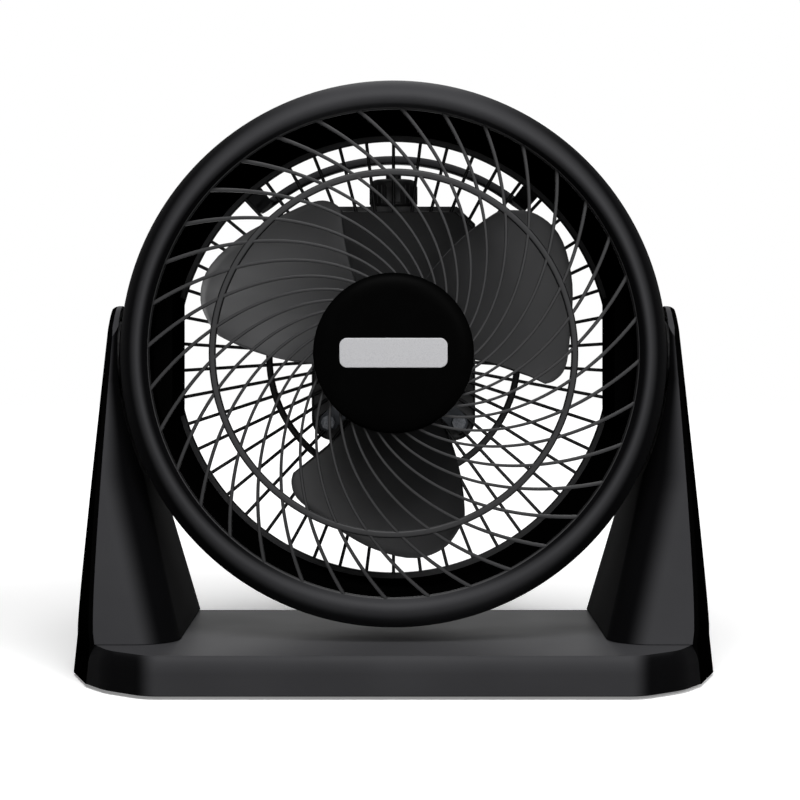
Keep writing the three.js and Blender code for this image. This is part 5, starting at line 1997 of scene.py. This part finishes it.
    def arm_pair(self) -> tuple[Object, Object]:
        """Cuts the right arm and its cover out of one body.

        Returns:
            The arm and the cover, in millimetres.
        """
        body = piece_of(lofted([self.arm_section(z) for z in self.heights()]), "right_arm_shell")
        combined(body, piece_of(self.arm_side(), "side"), "INTERSECT")
        sweep = piece_of(turned(arc((0, 0), self.sweep, -90, 90, 96)), "sweep")
        sweep.data.transform(Matrix.Translation((0, 0, PIVOT_Z)))
        combined(body, sweep)
        cover = copied(body, "right_arm_cladding")
        for piece, behind, how in ((cover, self.cover_thick, "DIFFERENCE"),
                                   (body, self.cover_thick + CLEARANCE, "INTERSECT")):
            solid = lofted([self.arm_section(z, behind) for z in self.heights()])
            combined(piece, piece_of(solid, "behind"), how, 24.0)
        below = slab([(0, -OVERCUT), (2 * self.half_width, -OVERCUT),
                      (2 * self.half_width, self.arm_foot), (0, self.arm_foot)],
                     self.front - OVERCUT, self.rear + OVERCUT)
        combined(body, piece_of(below, "below"), sharp=24.0)
        for radius, reach in ((self.pad_radius, self.sweep), (self.washer_hole, self.sweep + 4)):
            place = Matrix.Translation((0, 0, PIVOT_Z)) @ Matrix.Rotation(-math.pi / 2, 4, "Z")
            hole = piece_of(peg(radius, 0.0, reach, 64).moved(place), "hole")
            combined(body, hole, sharp=24.0)
        return even_normals(body), even_normals(cover)

    def foot(self) -> Shape:
        """Turns one rubber foot with a rounded lower edge, standing on the floor.

        Returns:
            A closed shape.
        """
        r, height = self.foot_radius, self.foot_height + 0.6
        outline = [(0, 0.3), (r - 2.2, 0.3), (r - 1.8, 0.0), (r - 0.5, 0.0), (r, 0.5),
                   (r, height - 0.3), (0, height - 0.3)]
        return turned(outline, SMALL_ROUND).moved(Matrix.Rotation(math.pi / 2, 4, "X"))

    def make(self, shop: Workshop) -> None:
        """Builds and fits the base, the feet and both arms.

        Args:
            shop: the workshop.
        """
        shop.fit(self.base(), ON_STAND, Body.STAND, Slot.SHELL, "base_shell")
        right = self.arm_pair()
        left = [copied(piece, piece.name.replace("right", "left")) for piece in right]
        for twin in left:
            twin.data.transform(MIRROR)
            twin.data.flip_normals()
        for side, (arm, cover) in ((Side.RIGHT, right), (Side.LEFT, left)):
            shop.fit(arm, ON_STAND, Body.STAND, Slot.SHELL, f"{side.word}_arm",
                     finish=Finish.ARMS)
            shop.fit(cover, ON_STAND, Body.STAND, Slot.SATIN, f"{side.word}_arm_cover")
        for word, (x, y) in zip(("front", "rear"), self.foot_places):
            for side in Side:
                foot = piece_of(self.foot(), f"{word}_{side.word}_foot")
                foot.data.transform(Matrix.Translation((side.value * x, y, 0)))
                shop.fit(foot, ON_STAND, Body.STAND, Slot.RUBBER, f"foot_{word}_{side.word}")


# ---- Fasteners

@dataclass(frozen=True)
class ScrewSize:
    """One size of cross-recessed pan-head screw."""

    head_radius: float
    head_thick: float
    shank_radius: float
    length: float        # of the shank

    def shape(self) -> Shape:
        """Turns the screw about Y, with its crown at 0 and its point towards -Y.

        Returns:
            A closed shape.
        """
        r, t, shank = self.head_radius, self.head_thick, self.shank_radius
        end = -t - self.length
        return turned([(0, 0), (r * 0.5, -0.03 * r), (r * 0.82, -0.11 * r), (r, -0.55 * t),
                       (r, -t), (shank, -t), (shank, end + shank * 0.5),
                       (shank * 0.5, end), (0, end)], 28)

    def make(self, name: str) -> Object:
        """Makes the screw and cuts the cross into its head.

        Args:
            name: the piece's name.

        Returns:
            The screw, in millimetres.
        """
        screw = piece_of(self.shape(), name, 40.0)
        wide, thin, deep = self.head_radius * 0.56, self.head_radius * 0.13, 0.7 * self.head_thick
        cross = []
        for a, b in ((wide, thin), (thin, wide)):
            levels = ((OVERCUT, 1.0), (0.0, 1.0), (-deep, 0.35))
            cross.append(lofted([[Vector((x * a * (k if a > b else 1), y, z * b
                                          * (k if b > a else 1)))
                                  for x, z in ((1, 1), (-1, 1), (-1, -1), (1, -1))]
                                 for y, k in levels]))
        for bar in cross:
            combined(screw, piece_of(bar, "cross"), sharp=40.0)
        return screw


@dataclass
class Fasteners:
    """The screws that show: on the motor cover, the rear ring, the handle and the base plate."""

    pan: ScrewSize = ScrewSize(3.2, 1.2, 1.5, 14.0)
    slim: ScrewSize = ScrewSize(2.2, 1.0, 1.2, 14.0)
    handle: ScrewSize = ScrewSize(3.2, 1.2, 1.5, 5.0)
    plate: ScrewSize = ScrewSize(3.2, 1.2, 1.5, 10.0)
    cover_circle: float = 42.0
    cover_face: float = 67.5
    ring_circle: float = 106.0
    ring_face: float = 50.0
    handle_circle: float = 100.87
    handle_face: float = 53.89
    handle_angles: Pair = (50.5, 130.5)
    plate_spots: Pair = (124.44, 120.0)    # between the screws' middles, across and deep
    plate_face: float = 1.5

    def make(self, shop: Workshop) -> None:
        """Builds and fits the four sets of screws, three of them in rings about the shaft.

        Args:
            shop: the workshop.
        """
        start, end = self.handle_angles
        for word, size, circle, face, first, step, count in (
                ("cover", self.pan, self.cover_circle, self.cover_face, 45.0, 90.0, 4),
                ("ring", self.slim, self.ring_circle, self.ring_face, 45.0, 90.0, 4),
                ("handle", self.handle, self.handle_circle, self.handle_face, start,
                 end - start, 2)):
            screws = size.make(f"{word}_screws")
            screws.data.transform(Matrix.Translation((circle, face, 0)))
            shop.rules.turned.run(screws, Count=count, First=first, Step=step)
            shop.fit(screws, ON_HEAD, Body.HEAD, Slot.SCREWS,
                     *(f"{word}_screw_{i + 1}" for i in range(count)))
        screw = self.plate.make("plate_screws")
        screw.data.transform(Matrix.Rotation(-math.pi / 2, 4, "X"))
        across, deep = self.plate_spots
        shop.rules.grid.run(screw, Columns=2, Rows=2, Width=across, Height=deep)
        screw.data.transform(Matrix.Translation((0, 0, self.plate_face)))
        shop.fit(screw, ON_STAND, Body.STAND, Slot.SCREWS,
                 *(f"plate_screw_{i + 1}" for i in range(4)))


# ---- Studio

@dataclass
class Studio:
    """The photograph's viewpoint, a soft key light from above, and a white surround."""

    distance: float = 1.0
    height: float = 0.15575
    pitch: float = 2.125             # degrees
    focal_px: float = 2304.0
    middle_px: float = 393.5
    frame_px: float = 800.0
    key_place: Triple = (0.0, -1.05, 1.4)
    aim: Triple = (0.0, 0.0, 0.12)
    key_size: Pair = (1.0, 0.6)
    key_power: float = 25.0
    fill_place: Triple = (0.8, -1.45, 0.8)
    fill_size: Pair = (0.5, 0.5)
    fill_power: float = 8.0
    ambient: float = 0.04
    floor_radius: float = 3.0
    floor_colour: str = "#ffffff"
    floor_shade: str = "#565656"         # as it lights the fan
    floor_glow: float = 0.25             # what it gains where it is seen
    shade_reach: Pair = (0.24, 0.62)     # where the floor's shadow begins to fade, and has gone

    def camera(self) -> None:
        """Places the camera at the photograph's angle."""
        lens = bpy.data.cameras.new("photo_view")
        lens.sensor_width = 36.0
        lens.lens = self.focal_px / self.frame_px * lens.sensor_width
        lens.shift_x = (self.frame_px / 2 - self.middle_px) / self.frame_px
        lens.clip_start = 0.05
        camera = bpy.data.objects.new("photo_view", lens)
        camera.location = (0.0, -self.distance, self.height)
        camera.rotation_euler = (math.radians(90 - self.pitch), 0.0, 0.0)
        bpy.context.scene.collection.objects.link(camera)
        bpy.context.scene.camera = camera

    def lamp(self, name: str, place: Triple, size: Pair, power: float) -> None:
        """Hangs one soft lamp that faces the fan.

        Args:
            name: the lamp's name.
            place: where it hangs, in metres.
            size: its width and height.
            power: its power in watts.
        """
        light = bpy.data.lights.new(name, "AREA")
        light.shape = "RECTANGLE"
        light.size, light.size_y = size
        light.energy = power
        holder = bpy.data.objects.new(name, light)
        holder.location = place
        towards = Vector(self.aim) - Vector(place)
        holder.rotation_euler = towards.to_track_quat("-Z", "Y").to_euler()
        bpy.context.scene.collection.objects.link(holder)

    def seen(self, tree: NodeTree) -> NodeSocket:
        """Finds the rays that show the white surround: seen, mirrored or refracted.

        Args:
            tree: the tree that asks.

        Returns:
            A socket that is above 0 for those rays.
        """
        path = add_node(tree, "ShaderNodeLightPath").outputs
        both = add_node(tree, MATH, {"operation": "MAXIMUM"}, {
            0: path["Is Camera Ray"], 1: path["Is Glossy Ray"]})
        every_one = add_node(tree, MATH, {"operation": "MAXIMUM"}, {
            0: both.outputs[0], 1: path["Is Transmission Ray"]})
        return every_one.outputs[0]

    def surround(self) -> None:
        """Makes the world white to the eye, and a lower even light on everything else."""
        world = bpy.data.worlds.new("surround")
        bpy.context.scene.world = world
        world.use_nodes = True
        level = add_node(world.node_tree, RANGE, inputs={
            0: self.seen(world.node_tree), 3: self.ambient, 4: 1.0})
        plug(world.node_tree.nodes["Background"], {
            "Color": linear("#ffffff"), "Strength": level.outputs[0]})

    def floor(self) -> None:
        """Lays a pale matt floor that keeps the shadow, and turns white away from the fan."""
        sheet = peg(self.floor_radius * 1000, 0.0, 4.0, 96)
        floor = piece_of(sheet.moved(METRES @ Matrix.Rotation(-math.pi / 2, 4, "X")), "floor")
        material = bpy.data.materials.new("matt_floor_paint")
        material.use_nodes = True
        tree = material.node_tree
        tree.nodes.remove(tree.nodes["Principled BSDF"])
        colour = add_node(tree, MIX, COLOURS, {
            0: self.seen(tree), 6: linear(self.floor_shade), 7: linear(self.floor_colour)})
        paint = add_node(tree, "ShaderNodeBsdfDiffuse", inputs={
            "Color": colour.outputs[2], "Roughness": 0.5})
        white = add_node(tree, "ShaderNodeEmission", inputs={
            "Color": linear("#ffffff"), "Strength": 1.0})
        where = add_node(tree, "ShaderNodeTexCoord").outputs["Object"]
        away = add_node(tree, "ShaderNodeVectorMath", {"operation": "LENGTH"}, {0: where})
        far = add_node(tree, RANGE, {"interpolation_type": "SMOOTHSTEP"}, {
            0: away.outputs["Value"], 1: self.shade_reach[0], 2: self.shade_reach[1]})
        share = add_node(tree, MATH, {"operation": "MULTIPLY"}, {
            0: far.outputs[0], 1: self.seen(tree)})
        mixed = add_node(tree, "ShaderNodeMixShader", inputs={
            0: share.outputs[0], 1: paint.outputs[0], 2: white.outputs[0]})
        glow = add_node(tree, MATH, {"operation": "MULTIPLY"}, {
            0: self.seen(tree), 1: self.floor_glow})
        haze = add_node(tree, "ShaderNodeEmission", inputs={
            "Color": linear("#ffffff"), "Strength": glow.outputs[0]})
        whole = add_node(tree, "ShaderNodeAddShader", inputs={
            0: mixed.outputs[0], 1: haze.outputs[0]})
        plug(tree.nodes["Material Output"], {"Surface": whole.outputs[0]})
        floor.data.materials.append(material)

    def make(self) -> None:
        """Sets up the view, the light, the surround and the floor."""
        bpy.context.scene.view_settings.view_transform = "Standard"
        self.camera()
        self.lamp("key_light", self.key_place, self.key_size, self.key_power)
        self.lamp("front_fill", self.fill_place, self.fill_size, self.fill_power)
        self.surround()
        self.floor()


def main() -> None:
    """Builds the fan piece by piece, and sets the studio up."""
    logging.basicConfig(level=logging.INFO, format="%(name)s: %(message)s")
    shop = Workshop({finish: recipe.make(finish.value) for finish, recipe in FINISHES.items()},
                    Rules())
    shop.dress_nodes()
    for assembly in (Housing, FrontGuard, RearGuard, MotorCover, Impeller, Stand, Fasteners):
        assembly().make(shop)
    Studio().make()
    log.info("%d pieces fitted", shop.made)


if __name__ == "__main__":
    main()
